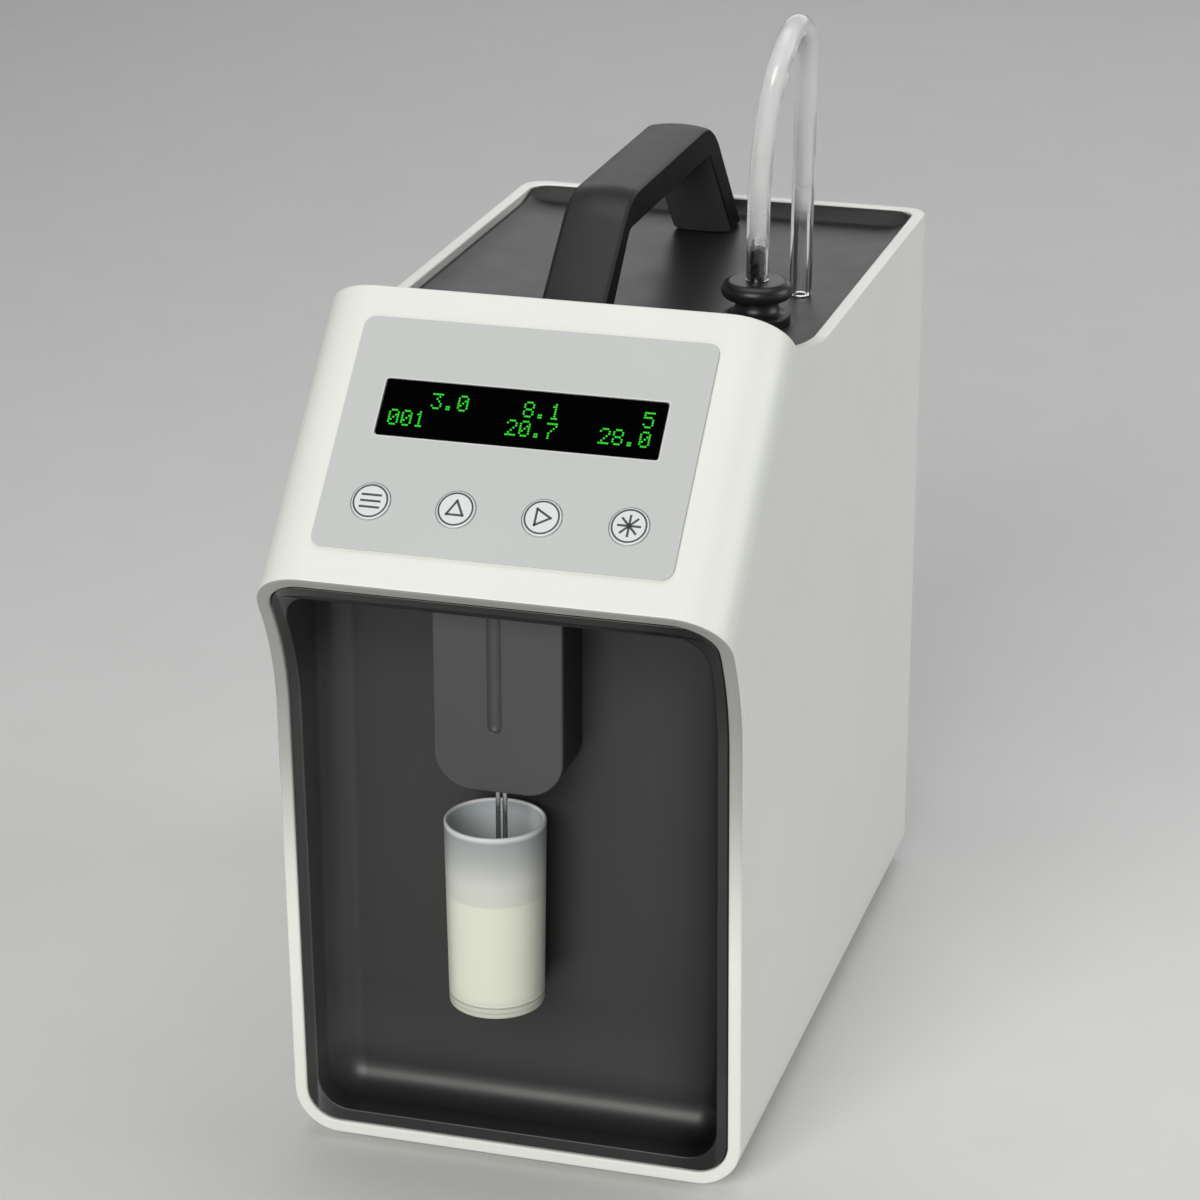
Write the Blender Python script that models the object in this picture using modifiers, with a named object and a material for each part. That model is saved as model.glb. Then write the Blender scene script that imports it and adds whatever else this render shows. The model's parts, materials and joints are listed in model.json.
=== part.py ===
"""Bench-top milk analyzer: a moulded sleeve housing with a sloping control head,
a dished sampling bay with its cup, a carrying handle and a hose on the top panel.

Metres, +Z up. The origin is under the middle of the housing, at the feet.
The housing is drawn from its lower front rim (y = 0) and its underside (z = 0),
and the sloping panel from its nose edge; two empties carry these to their places.
"""

import math

import bmesh
import bpy
from mathutils import Vector
from mathutils.geometry import interpolate_bezier

# Housing
BODY_WIDTH = 0.140
BODY_DEPTH = 0.245
WALL_HEIGHT = 0.237
WALL = 0.004
BOTTOM_RADIUS = 0.014
REAR_RADIUS = 0.008
FOOT_HEIGHT = 0.002
FOOT_INSET = 0.004
FOOT_RADIUS = 0.007
FOOT_STUD_RADIUS = 0.002
FOOT_STUD_LENGTH = 0.0034

# Front rim, which leans forward and then sweeps out to the nose
NOSE_OVERHANG = 0.027
NOSE_HEIGHT = 0.190
RIM_LEAN = 0.0051
RIM_STRAIGHT_HEIGHT = 0.141
RIM_BEND_HEIGHT = 0.166

# Sloping head and the shoulders behind it
PANEL_TILT = math.radians(45.0)
PANEL_LENGTH = 0.0955
PANEL_RADIUS = 0.017
PANEL_ACROSS = math.cos(PANEL_TILT)
PANEL_UP = math.sin(PANEL_TILT)
LIP_Y = PANEL_LENGTH * PANEL_ACROSS - NOSE_OVERHANG
LIP_Z = PANEL_LENGTH * PANEL_UP + NOSE_HEIGHT
SHOULDER_LENGTH = 0.0395
SHOULDER_BEND = 0.0235
SHOULDER_BEND_RISE = 0.0015

# Fits
FIT = 0.0003
OVERRUN = 0.010
CLEAR_OF_STOCK = 0.075
WELD = 0.000001

# Sampling bay
BAY_MARGIN = 0.0076
BAY_HALF_WIDTH = BODY_WIDTH / 2.0 - BAY_MARGIN
BAY_FLOOR = 0.0085
BAY_CEILING = 0.183
BAY_DEPTH = 0.017
BAY_WALL = 0.0025
BAY_ROOF = 0.0035
BAY_SETBACK = 0.0004
BAY_LOWER_RADIUS = 0.010
BAY_UPPER_RADIUS = 0.012
BAY_BACK_RADIUS = 0.009

# Sampler, a little left of the middle
SAMPLER_X = -0.003
SAMPLER_WIDTH = 0.039
SAMPLER_FRONT = -0.003
SAMPLER_BOTTOM = 0.121
SAMPLER_RADIUS = 0.0115
SAMPLER_WALL = 0.002
SAMPLER_GROOVE_RADIUS = 0.0026
SAMPLER_GROOVE_DEPTH = 0.0012
SAMPLER_GROOVE_END = 0.1416
SAMPLER_GROOVE_SHIFT = -0.001
PIPE_Y = 0.0
PIPE_RADIUS = 0.00075
PIPE_SPACING = 0.0021
PIPE_TIP = 0.085
RINSE_PIPE_TIP = 0.092
PIPE_TOP = 0.158
HOSE_RADIUS = 0.0009
HOSE_GUIDE_RADIUS = 0.003
HOSE_GUIDE_HEIGHT = 0.165
HOSE_RISE_SHARE = 0.55
HOSE_NEAR_X_SHARE = 0.12
HOSE_NEAR_Y_SHARE = 0.25
HOSE_FAR_X_SHARE = 0.35
HOSE_FAR_Y_SHARE = 0.30

# Cup and the stage that carries it
CUP_X = -0.005
CUP_Y = 0.0
CUP_BASE = 0.0531
CUP_HEIGHT = 0.0585
CUP_RIM_RADIUS = 0.015
CUP_BASE_RADIUS = 0.0141
CUP_WALL = 0.001
CUP_BEAD = 0.0004
CUP_FOOT = 0.003
CUP_BOTTOM = 0.0012
MILK_LEVEL = 0.0894
STAGE_TRAVEL = 0.028
STAGE_WIDTH = 0.018
STAGE_SHEET = 0.0012
STAGE_FOOT_SHEET = 0.0025
STAGE_TOP = 0.104
STAGE_REACH = 0.0075
RUNNER_STEM_WIDTH = 0.005
RUNNER_STEM_HEIGHT = 0.008
RUNNER_STEM_TOP = 0.100
RUNNER_WIDTH = 0.014
RUNNER_MARGIN = 0.003
RUNNER_PLATE = 0.0025

# Top panel
TOP_DEPTH = 0.005
TOP_RIM_DEPTH = 0.0022
TOP_SHEET = 0.003
TOP_FLOOR = WALL_HEIGHT - TOP_DEPTH
TOP_RIM = WALL_HEIGHT - TOP_RIM_DEPTH
TOP_UNDERSIDE = TOP_FLOOR - TOP_SHEET
TOP_LAP = 0.0045
TOP_FRONT = LIP_Y - TOP_LAP
TOP_EDGE = 0.0025
TOP_SIDE_EDGE = 0.0005
TOP_TRIM_START = 0.00375
TOP_DISH_RADIUS = 0.0045

# Carrying handle
HANDLE_WIDTH = 0.020
HANDLE_HEIGHT = 0.044
HANDLE_THICKNESS = 0.0115
HANDLE_TOP = TOP_FLOOR + HANDLE_HEIGHT
HANDLE_UNDER = HANDLE_TOP - HANDLE_THICKNESS
HANDLE_FRONT_MARGIN = 0.0075
HANDLE_FRONT_FOOT = TOP_FRONT + HANDLE_FRONT_MARGIN
HANDLE_FRONT_FOOT_LENGTH = 0.0135
HANDLE_FRONT_SLOPE = 0.0492
HANDLE_FRONT_CROWN = HANDLE_FRONT_FOOT + HANDLE_FRONT_SLOPE
HANDLE_FRONT_LEG = 0.0008
HANDLE_FRONT_INNER = HANDLE_FRONT_CROWN - HANDLE_FRONT_LEG
HANDLE_REAR_MARGIN = 0.0165
HANDLE_REAR_FOOT = BODY_DEPTH - HANDLE_REAR_MARGIN
HANDLE_REAR_FOOT_LENGTH = 0.012
HANDLE_REAR_SLOPE = 0.0385
HANDLE_REAR_CROWN = HANDLE_REAR_FOOT - HANDLE_REAR_SLOPE
HANDLE_REAR_LEG = 0.007
HANDLE_REAR_INNER = HANDLE_REAR_CROWN - HANDLE_REAR_LEG
HANDLE_FRONT_BEND = 0.025
HANDLE_REAR_BEND = 0.027
HANDLE_INNER_BEND = 0.006
HANDLE_EDGE = 0.0015
HANDLE_SCREW_RADIUS = 0.0017
HANDLE_SCREW_HEAD = 0.0035
HANDLE_SCREW_HEAD_HEIGHT = 0.0025
HANDLE_SCREW_DEPTH = 0.0045
HANDLE_SCREW_INSET = 0.0040

# Hose fitting and hose
FITTING_INSET = 0.0275
FITTING_X = BODY_WIDTH / 2.0 - FITTING_INSET
FITTING_Y = 0.117
FITTING_BORE = 0.0012
FITTING_STEM_RADIUS = 0.005
FITTING_STEM_LENGTH = 0.009
FITTING_FLANGE_RADIUS = 0.0103
FITTING_FLANGE_HEIGHT = 0.0028
FITTING_NECK_RADIUS = 0.0065
FITTING_NECK_HEIGHT = 0.0045
FITTING_RING_RADIUS = 0.011
FITTING_RING_HEIGHT = 0.0057
FITTING_NIPPLE_RADIUS = 0.0019
FITTING_BARB_RADIUS = 0.0023
FITTING_NIPPLE_HEIGHT = 0.0095
FITTING_BARB_SHARE = 0.55
NUT_RADIUS = 0.0085
NUT_HEIGHT = 0.004
OUTLET_TUBE_RADIUS = 0.0035
OUTLET_TUBE_BORE = 0.0026
# Route of the hose over its arch and down to the top panel, from the fitting's top
OUTLET_TUBE_OFFSETS = (
    (0.0, 0.0, 0.0003),
    (0.0, 0.0, 0.0147),
    (0.0004, 0.0, 0.0307),
    (0.0018, 0.0, 0.0455),
    (0.0036, 0.0003, 0.0582),
    (0.0052, 0.0026, 0.0666),
    (0.0063, 0.0084, 0.0725),
    (0.0069, 0.0165, 0.0747),
    (0.0070, 0.0246, 0.0725),
    (0.0068, 0.0304, 0.0666),
    (0.0066, 0.0327, 0.0582),
    (0.0064, 0.0329, 0.0450),
    (0.0063, 0.0329, 0.0317),
    (0.0061, 0.0329, 0.0167),
    (0.0060, 0.0329, 0.0017),
    (0.0059, 0.0329, -0.0129),
)
OUTLET_TUBE_STEPS = 2

# Control panel
MEMBRANE_MARGIN = 0.0343
MEMBRANE_WIDTH = BODY_WIDTH - MEMBRANE_MARGIN
MEMBRANE_SPARE = 0.0217
MEMBRANE_LENGTH = PANEL_LENGTH - MEMBRANE_SPARE
MEMBRANE_START = 0.0111
MEMBRANE_RADIUS = 0.0035
MEMBRANE_SHEET = 0.0005
WINDOW_MARGIN = 0.0224
WINDOW_WIDTH = MEMBRANE_WIDTH - WINDOW_MARGIN
WINDOW_LENGTH = 0.0178
WINDOW_PLACE_SHARE = 0.61043
WINDOW_MIDDLE = MEMBRANE_START + MEMBRANE_LENGTH * WINDOW_PLACE_SHARE
WINDOW_SHEET = 0.0007
WINDOW_LEDGE = 0.0018
WINDOW_RADIUS = 0.0008
KEY_NAMES = ("menu_key", "up_key", "right_key", "start_key")
KEY_MARGIN = 0.0301
KEY_PITCH = (MEMBRANE_WIDTH - KEY_MARGIN) / (len(KEY_NAMES) - 1)
KEY_PLACE_SHARE = 0.20325
KEY_LINE = MEMBRANE_START + MEMBRANE_LENGTH * KEY_PLACE_SHARE
KEY_RADIUS = 0.00565
KEY_CAP = 0.0004
KEY_CROWN = 0.00015
KEY_TRAVEL = 0.0005
KEY_FLAT_SHARE = 0.6
KEY_CROWN_SHARE = 0.7
KEY_STEM_RADIUS = 0.002
KEY_STEM_REACH = 0.0062
BOARD = 0.0016
BOARD_DROP = 0.0096
HEAD_BOARD_MARGIN = 0.0137
HEAD_BOARD_WIDTH = MEMBRANE_WIDTH - HEAD_BOARD_MARGIN
HEAD_BOARD_START = 0.017
HEAD_BOARD_DROP = 0.020
HEAD_BOARD_END = PANEL_LENGTH - HEAD_BOARD_DROP
DISPLAY_SHOULDER = 0.0012
SWITCH_SIDE = 0.006
SWITCH_TOP = 0.0070
SPACER_RADIUS = 0.0022
SPACER_INSET = 0.004

# Rear panel
REAR_OPENING_MARGIN = 0.040
REAR_OPENING_WIDTH = BODY_WIDTH - REAR_OPENING_MARGIN
REAR_OPENING_BOTTOM = 0.022
REAR_OPENING_DROP = 0.023
REAR_OPENING_TOP = WALL_HEIGHT - REAR_OPENING_DROP
REAR_REBATE = 0.002
REAR_FLANGE = 0.007
REAR_SHEET = 0.0015
REAR_CORNER = 0.004
SCREW_RADIUS = 0.0015
SCREW_HEAD_RADIUS = 0.0028
SCREW_FLAT_SHARE = 0.7
SCREW_HEAD_HEIGHT = 0.0012
SCREW_LENGTH = 0.0025
VENT_COUNT = 9
VENT_PITCH = 0.006
VENT_WIDTH = 0.0028
VENT_LENGTH = 0.060
VENT_DROP = 0.014
VENT_TOP = REAR_OPENING_TOP - VENT_DROP
INLET_INSET = 0.022
INLET_X = INLET_INSET - REAR_OPENING_WIDTH / 2.0
INLET_Z = 0.045
INLET_RADIUS = 0.0075
INLET_FLANGE = 0.010
INLET_FLANGE_HEIGHT = 0.0025
INLET_BORE = 0.0045
INLET_BORE_DEPTH = 0.009
INLET_DEPTH = 0.014
INLET_PIN = 0.001
SOCKET_INSET = 0.020
SOCKET_X = REAR_OPENING_WIDTH / 2.0 - SOCKET_INSET
SOCKET_Z = 0.045
SOCKET_WIDTH = 0.031
SOCKET_HEIGHT = 0.0125
SOCKET_FLANGE = 0.001
SOCKET_NOSE_WIDTH = 0.017
SOCKET_NOSE_HEIGHT = 0.0084
SOCKET_NOSE_TAPER = 0.0012
SOCKET_NOSE_REACH = 0.005
SOCKET_WALL = 0.0008
SOCKET_BODY = 0.011
SWITCH_X = 0.0
SWITCH_RAISE = 0.030
SWITCH_Z = SOCKET_Z + SWITCH_RAISE
SWITCH_FRAME_WIDTH = 0.015
SWITCH_FRAME_HEIGHT = 0.021
SWITCH_FRAME_SHEET = 0.002
SWITCH_OPENING_WIDTH = 0.0094
SWITCH_OPENING_HEIGHT = 0.0154
SWITCH_BODY_DEPTH = 0.016
SWITCH_BODY_WALL = 0.0015
ROCKER_WIDTH = 0.0088
ROCKER_HALF_LENGTH = 0.0066
ROCKER_RISE = 0.0018
ROCKER_DEPTH = 0.004
ROCKER_THROW = math.radians(9.0)

# Inside
CHASSIS_SHEET = 0.0015
CHASSIS_MARGIN = 0.012
CHASSIS_HALF_WIDTH = BODY_WIDTH / 2.0 - CHASSIS_MARGIN
CHASSIS_FRONT_GAP = 0.013
CHASSIS_FRONT = BAY_DEPTH + CHASSIS_FRONT_GAP
CHASSIS_BACK_GAP = 0.013
CHASSIS_BACK = BODY_DEPTH - CHASSIS_BACK_GAP
PUMP_INSET = 0.040
PUMP_X = BODY_WIDTH / 2.0 - PUMP_INSET
PUMP_BACK_GAP = 0.080
PUMP_Y = BODY_DEPTH - PUMP_BACK_GAP
PUMP_Z = 0.060
PUMP_SIZE = 0.048
MAIN_BOARD_INSET = 0.016
MAIN_BOARD_GAP = 0.008
MAIN_BOARD_LEFT = MAIN_BOARD_INSET - BODY_WIDTH / 2.0
MAIN_BOARD_RIGHT = PUMP_X - PUMP_SIZE / 2.0 - MAIN_BOARD_GAP
MAIN_BOARD_WIDTH = MAIN_BOARD_RIGHT - MAIN_BOARD_LEFT
MAIN_BOARD_X = (MAIN_BOARD_LEFT + MAIN_BOARD_RIGHT) / 2.0
MAIN_BOARD_START = 0.020
MAIN_BOARD_FRONT = CHASSIS_FRONT + MAIN_BOARD_START
MAIN_BOARD_END = 0.032
MAIN_BOARD_LENGTH = CHASSIS_BACK - MAIN_BOARD_END - MAIN_BOARD_FRONT
MAIN_SPACER_HEIGHT = 0.008
CHIP_TABLE_SHARES = (
    (0.50, 0.70, 0.30, 0.14, 0.30),
    (0.26, 0.40, 0.22, 0.10, 0.75),
    (0.72, 0.40, 0.24, 0.08, 1.25),
    (0.30, 0.14, 0.30, 0.09, 1.10),
)
CELL_X = PUMP_X
CELL_BACK_GAP = 0.058
CELL_Y = BAY_DEPTH + CELL_BACK_GAP
CELL_Z = PUMP_Z
CELL_RADIUS = 0.011
CELL_HALF_LENGTH = 0.024
CELL_CAP_RADIUS = 0.0135
CELL_CAP_LENGTH = 0.007
CELL_PORT_RADIUS = 0.0014
CELL_PORT_HEIGHT = 0.006
CELL_CRADLE_WIDTH = 0.030
CELL_CRADLE_SHEET = 0.004
PUMP_DEPTH = 0.016
PUMP_TRACK_RADIUS = 0.0185
PUMP_BACK = 0.003
PUMP_CORNER = 0.005
PUMP_LINE_RADIUS = 0.0155
PUMP_LINE_REACH = 0.0054
PUMP_LINE_STEPS = 12
ROTOR_RADIUS = 0.012
ROTOR_SHEET = 0.0022
ROTOR_HUB_RADIUS = 0.005
ROLLER_COUNT = 3
ROLLER_RADIUS = 0.0035
ROLLER_PIN_RADIUS = 0.001
RUNNING_FIT = 0.0001
MOTOR_RADIUS = 0.0125
MOTOR_LENGTH = 0.030
MOTOR_SHAFT_RADIUS = 0.0015
MOTOR_SHAFT_REACH = 0.008
BRACKET_SHEET = 0.002
LINE_RADIUS = 0.0018
LINE_DROP = 0.0036
CELL_HOSE_RISE = 0.014
PUMP_LINE_TOP = PUMP_Z + PUMP_SIZE / 2.0 + PUMP_LINE_REACH

# Roundness
ARC_STEPS = 6
TURN_STEPS = 24
SMALL_TURN_STEPS = 16


def reset_scene():
    for obj in list(bpy.data.objects):
        bpy.data.objects.remove(obj, do_unlink=True)


reset_scene()
PARTS = bpy.data.collections.new("milk_analyzer")
CUTTERS = bpy.data.collections.new("cutters")
bpy.context.scene.collection.children.link(PARTS)
bpy.context.scene.collection.children.link(CUTTERS)


def datum(name, location, tilt=0.0, parent=None):
    empty = bpy.data.objects.new(name, None)
    empty.location = location
    empty.rotation_euler = (tilt, 0.0, 0.0)
    empty.parent = parent
    CUTTERS.objects.link(empty)
    return empty


REAR_INSIDE = BODY_DEPTH - REAR_REBATE + FIT
REAR_OUTSIDE = REAR_INSIDE + REAR_SHEET
RIM_Y = (NOSE_OVERHANG - REAR_OUTSIDE - FIT - SOCKET_NOSE_REACH) / 2.0
BODY = datum("body_datum", (0.0, RIM_Y, FOOT_HEIGHT))
PANEL = datum("panel_datum", (0.0, -NOSE_OVERHANG, NOSE_HEIGHT), PANEL_TILT, BODY)


# Finishes
def finish(name, colour, roughness, metallic=0.0, alpha=1.0):
    material = bpy.data.materials.new(name)
    material.use_nodes = True
    shader = material.node_tree.nodes["Principled BSDF"]
    shader.inputs["Base Color"].default_value = (*colour, 1.0)
    shader.inputs["Roughness"].default_value = roughness
    shader.inputs["Metallic"].default_value = metallic
    shader.inputs["Alpha"].default_value = alpha
    material.diffuse_color = (*colour, alpha)
    return material


CREAM = finish("cream_plastic", (0.80, 0.81, 0.75), 0.35)
BLACK = finish("black_plastic", (0.045, 0.045, 0.045), 0.45)
TOP_BLACK = finish("top_panel_plastic", (0.06, 0.06, 0.06), 0.35)
DARK_GREY = finish("dark_grey_plastic", (0.09, 0.09, 0.09), 0.5)
MEMBRANE_GREY = finish("membrane_grey", (0.56, 0.57, 0.55), 0.5)
DISPLAY_BLACK = finish("display_black", (0.005, 0.006, 0.005), 0.1)
KEY_WHITE = finish("key_white", (0.78, 0.79, 0.77), 0.4)
STEEL = finish("stainless_steel", (0.62, 0.62, 0.62), 0.25, 1.0)
ZINC = finish("zinc_plated_steel", (0.55, 0.55, 0.53), 0.4, 1.0)
FROSTED = finish("frosted_cup", (0.70, 0.73, 0.72), 0.35, 0.0, 0.5)
MILK = finish("milk", (0.85, 0.85, 0.74), 0.25)
CLEAR_HOSE = finish("clear_hose", (0.80, 0.84, 0.84), 0.15, 0.0, 0.4)
RUBBER = finish("black_rubber", (0.02, 0.02, 0.02), 0.8)
BOARD_GREEN = finish("board_green", (0.02, 0.16, 0.06), 0.45)
GREY_PAINT = finish("grey_painted_sheet", (0.40, 0.41, 0.40), 0.5)
ALUMINIUM = finish("aluminium", (0.66, 0.67, 0.68), 0.35, 1.0)


# Outlines
def arc(centre, radius, start, end, steps=ARC_STEPS):
    """Points on a circle from one angle to another, in degrees."""
    points = []
    for step in range(steps + 1):
        angle = math.radians(start + (end - start) * step / steps)
        points.append((centre[0] + radius * math.cos(angle), centre[1] + radius * math.sin(angle)))
    return points


def bend(start, control, end, steps=ARC_STEPS):
    """Points on a quadratic curve from start towards control and on to end."""
    points = []
    for step in range(steps + 1):
        t = step / steps
        points.append(tuple(
            (1 - t) ** 2 * a + 2 * t * (1 - t) * b + t ** 2 * c
            for a, b, c in zip(start, control, end)
        ))
    return points


def rounded(corners, steps=ARC_STEPS):
    """A closed outline from corners (x, y, radius), each radius turned into an arc."""
    points = []
    count = len(corners)
    for index, (x, y, radius) in enumerate(corners):
        here = Vector((x, y))
        if radius <= 0.0:
            points.append((x, y))
            continue
        before = Vector(corners[index - 1][:2]) - here
        after = Vector(corners[(index + 1) % count][:2]) - here
        before.normalize()
        after.normalize()
        half = before.angle(after) / 2.0
        reach = radius / math.tan(half)
        middle = (before + after).normalized() * (radius / math.sin(half)) + here
        first = here + before * reach - middle
        last = here + after * reach - middle
        turn = first.angle_signed(last)
        for step in range(steps + 1):
            share = turn * step / steps
            spoke = Vector((
                first.x * math.cos(share) + first.y * math.sin(share),
                first.y * math.cos(share) - first.x * math.sin(share),
            ))
            points.append(tuple(middle + spoke))
    return points


def box_outline(low, high, radius=0.0, steps=ARC_STEPS):
    (x0, y0), (x1, y1) = low, high
    return rounded([(x0, y0, radius), (x1, y0, radius), (x1, y1, radius), (x0, y1, radius)], steps)


# Solids
TURNED_TO = {
    "plan": (0.0, 0.0, 0.0),
    "front": (math.radians(90.0), 0.0, 0.0),
    "side": (math.radians(90.0), 0.0, math.radians(90.0)),
}
BACKWARD = (math.radians(-90.0), 0.0, 0.0)


def solid_mesh(name, obj):
    """The closed, outward-facing mesh of a curve, whose loose caps are welded."""
    depsgraph = bpy.context.evaluated_depsgraph_get()
    mesh = bpy.data.meshes.new_from_object(obj.evaluated_get(depsgraph))
    mesh.name = name
    form = bmesh.new()
    form.from_mesh(mesh)
    bmesh.ops.remove_doubles(form, verts=form.verts, dist=WELD)
    bmesh.ops.dissolve_limit(
        form, angle_limit=math.radians(0.05), verts=form.verts, edges=form.edges
    )
    bmesh.ops.recalc_face_normals(form, faces=form.faces)
    form.to_mesh(mesh)
    form.free()
    return mesh


def place(name, mesh, material, parent, location=(0.0, 0.0, 0.0), rotation=(0.0, 0.0, 0.0)):
    obj = bpy.data.objects.new(name, mesh)
    obj.parent = parent
    obj.location = location
    obj.rotation_euler = rotation
    if material is None:
        obj.hide_render = True
        obj.display_type = "WIRE"
        CUTTERS.objects.link(obj)
    else:
        mesh.materials.clear()
        mesh.materials.append(material)
        PARTS.objects.link(obj)
    return obj


def extruded(name, points, near, far, facing, material=None, parent=None):
    """A flat outline seen in plan, from the front or from the side, near to far."""
    curve = bpy.data.curves.new(name, "CURVE")
    curve.dimensions = "2D"
    curve.fill_mode = "BOTH"
    curve.extrude = (far - near) / 2.0
    spline = curve.splines.new("POLY")
    spline.points.add(len(points) - 1)
    for point, (x, y) in zip(spline.points, points):
        point.co = (x, y, 0.0, 1.0)
    spline.use_cyclic_u = True
    outline = bpy.data.objects.new(name + "_outline", curve)
    CUTTERS.objects.link(outline)
    mesh = solid_mesh(name, outline)
    bpy.data.objects.remove(outline, do_unlink=True)
    middle = (near + far) / 2.0
    location = {
        "plan": (0.0, 0.0, middle),
        "front": (0.0, middle, 0.0),
        "side": (middle, 0.0, 0.0),
    }[facing]
    return place(name, mesh, material, parent or BODY, location, TURNED_TO[facing])


def block(name, low, high, material=None, parent=None):
    form = bmesh.new()
    bmesh.ops.create_cube(form, size=1.0)
    size = [b - a for a, b in zip(low, high)]
    bmesh.ops.scale(form, vec=size, verts=form.verts)
    mesh = bpy.data.meshes.new(name)
    form.to_mesh(mesh)
    form.free()
    middle = [(a + b) / 2.0 for a, b in zip(low, high)]
    return place(name, mesh, material, parent or BODY, middle)


def rod(name, radius, start, end, material=None, parent=None, steps=SMALL_TURN_STEPS):
    """A round bar between two points."""
    start = Vector(start)
    end = Vector(end)
    form = bmesh.new()
    bmesh.ops.create_cone(
        form, cap_ends=True, segments=steps, radius1=radius, radius2=radius,
        depth=(end - start).length,
    )
    mesh = bpy.data.meshes.new(name)
    form.to_mesh(mesh)
    form.free()
    mesh.shade_smooth()
    mesh.set_sharp_from_angle(angle=math.radians(40.0))
    obj = place(name, mesh, material, parent or BODY, (start + end) / 2.0)
    obj.rotation_euler = (end - start).to_track_quat("Z", "Y").to_euler()
    return obj


def turned(name, profile, centre, material=None, parent=None, steps=TURN_STEPS,
           rotation=(0.0, 0.0, 0.0), closed=False):
    """A profile of (radius, height), run down its outer side, turned about its own Z."""
    mesh = bpy.data.meshes.new(name)
    vertices = [(radius, 0.0, height) for radius, height in profile]
    edges = [(index, index + 1) for index in range(len(profile) - 1)]
    if closed:
        edges.append((len(profile) - 1, 0))
    mesh.from_pydata(vertices, edges, [])
    obj = place(name, mesh, material, parent or BODY, centre, rotation)
    screw = obj.modifiers.new("turn", "SCREW")
    screw.axis = "Z"
    screw.steps = steps
    screw.render_steps = steps
    screw.use_merge_vertices = True
    screw.merge_threshold = WELD
    screw.use_smooth_shade = True
    return obj


def tube(name, points, radius, material=None, parent=None, resolution=2):
    """A hose or wire along its points, left as a curve."""
    curve = bpy.data.curves.new(name, "CURVE")
    curve.dimensions = "3D"
    curve.bevel_depth = radius
    curve.bevel_resolution = resolution
    curve.use_fill_caps = True
    spline = curve.splines.new("POLY")
    spline.points.add(len(points) - 1)
    for point, place_at in zip(spline.points, points):
        point.co = (*place_at, 1.0)
    obj = bpy.data.objects.new(name, curve)
    obj.parent = parent or BODY
    if material is None:
        obj.hide_render = True
        obj.display_type = "WIRE"
        CUTTERS.objects.link(obj)
    else:
        curve.materials.append(material)
        PARTS.objects.link(obj)
    return obj


def as_mesh(obj, material=None):
    """The same tube as a mesh that can be cut."""
    name = obj.name
    mesh = solid_mesh(name, obj)
    parent = obj.parent
    bpy.data.objects.remove(obj, do_unlink=True)
    made = place(name, mesh, material, parent)
    made.name = name
    return made


def smooth_route(points, steps):
    """Points on a smooth curve through the route's own points."""
    knots = [Vector(point) for point in points]
    before = knots[0] + (knots[0] - knots[1])
    after = knots[-1] + (knots[-1] - knots[-2])
    ends = [before] + knots + [after]
    path = []
    for a, b, c, d in zip(ends, ends[1:], ends[2:], ends[3:]):
        leaving = b + (c - a) / 6.0
        arriving = c - (d - b) / 6.0
        path += interpolate_bezier(b, leaving, arriving, c, steps + 1)[:-1]
    path.append(knots[-1])
    return path


# Modifiers
def bevel(obj, width, segments=2, angle=30.0):
    modifier = obj.modifiers.new("edges", "BEVEL")
    modifier.width = width
    modifier.segments = segments
    modifier.limit_method = "ANGLE"
    modifier.angle_limit = math.radians(angle)
    return modifier


def combine(target, other, operation):
    modifier = target.modifiers.new(operation.lower() + "_" + other.name, "BOOLEAN")
    modifier.operation = operation
    modifier.solver = "EXACT"
    modifier.object = other
    return modifier


def cut(target, *cutters):
    for cutter in cutters:
        combine(target, cutter, "DIFFERENCE")


def join(target, *pieces):
    for piece in pieces:
        combine(target, piece, "UNION")


# Shape of the housing and of all that follows its inside
HALF_WIDTH = BODY_WIDTH / 2.0
STOCK_TOP = NOSE_HEIGHT + PANEL_LENGTH + OVERRUN
WALL_INSIDE = WALL + FIT


def sleeve(name, inset, front, back, top, material=None, low=None):
    """The housing's long section, moved in from its outside by an inset."""
    side = HALF_WIDTH - inset
    radius = BOTTOM_RADIUS - inset
    bottom = inset if low is None else low
    corner = radius if low is None else 0.0
    outline = rounded([
        (-side, bottom, corner), (side, bottom, corner), (side, top, 0.0), (-side, top, 0.0),
    ])
    return extruded(name, outline, front, back, "front", material)


def above_panel(name, inset, length):
    """All that lies above the sloping panel and outside its rounded sides."""
    side = HALF_WIDTH - inset
    radius = PANEL_RADIUS - inset
    outline = [(-side - OVERRUN, -PANEL_RADIUS)]
    outline += arc((radius - side, -PANEL_RADIUS), radius, 180.0, 90.0)
    outline += arc((side - radius, -PANEL_RADIUS), radius, 90.0, 0.0)
    outline += [
        (side + OVERRUN, -PANEL_RADIUS),
        (side + OVERRUN, STOCK_TOP / 2.0),
        (-side - OVERRUN, STOCK_TOP / 2.0),
    ]
    return extruded(name, outline, -PANEL_LENGTH - OVERRUN, length, "front", None, PANEL)


def rim_points():
    """The front rim from the side, from below the underside to past the nose."""
    lean = RIM_LEAN / RIM_STRAIGHT_HEIGHT
    straight = (-RIM_LEAN, RIM_STRAIGHT_HEIGHT)
    control = (-lean * RIM_BEND_HEIGHT, RIM_BEND_HEIGHT)
    nose = (-NOSE_OVERHANG, NOSE_HEIGHT)
    run = Vector(nose) - Vector(control)
    past = Vector(nose) + run.normalized() * OVERRUN
    start = (lean * OVERRUN, -OVERRUN)
    return [start] + bend(straight, control, nose, ARC_STEPS + 2) + [tuple(past)]


def before_rim(name, setback):
    """All that lies in front of the rim, or behind it by a setback."""
    points = [(y + setback, z) for y, z in rim_points()]
    front = -NOSE_OVERHANG - CLEAR_OF_STOCK
    points += [(front, points[-1][1]), (front, points[0][1])]
    reach = HALF_WIDTH + OVERRUN
    return extruded(name, points, -reach, reach, "side")


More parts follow.
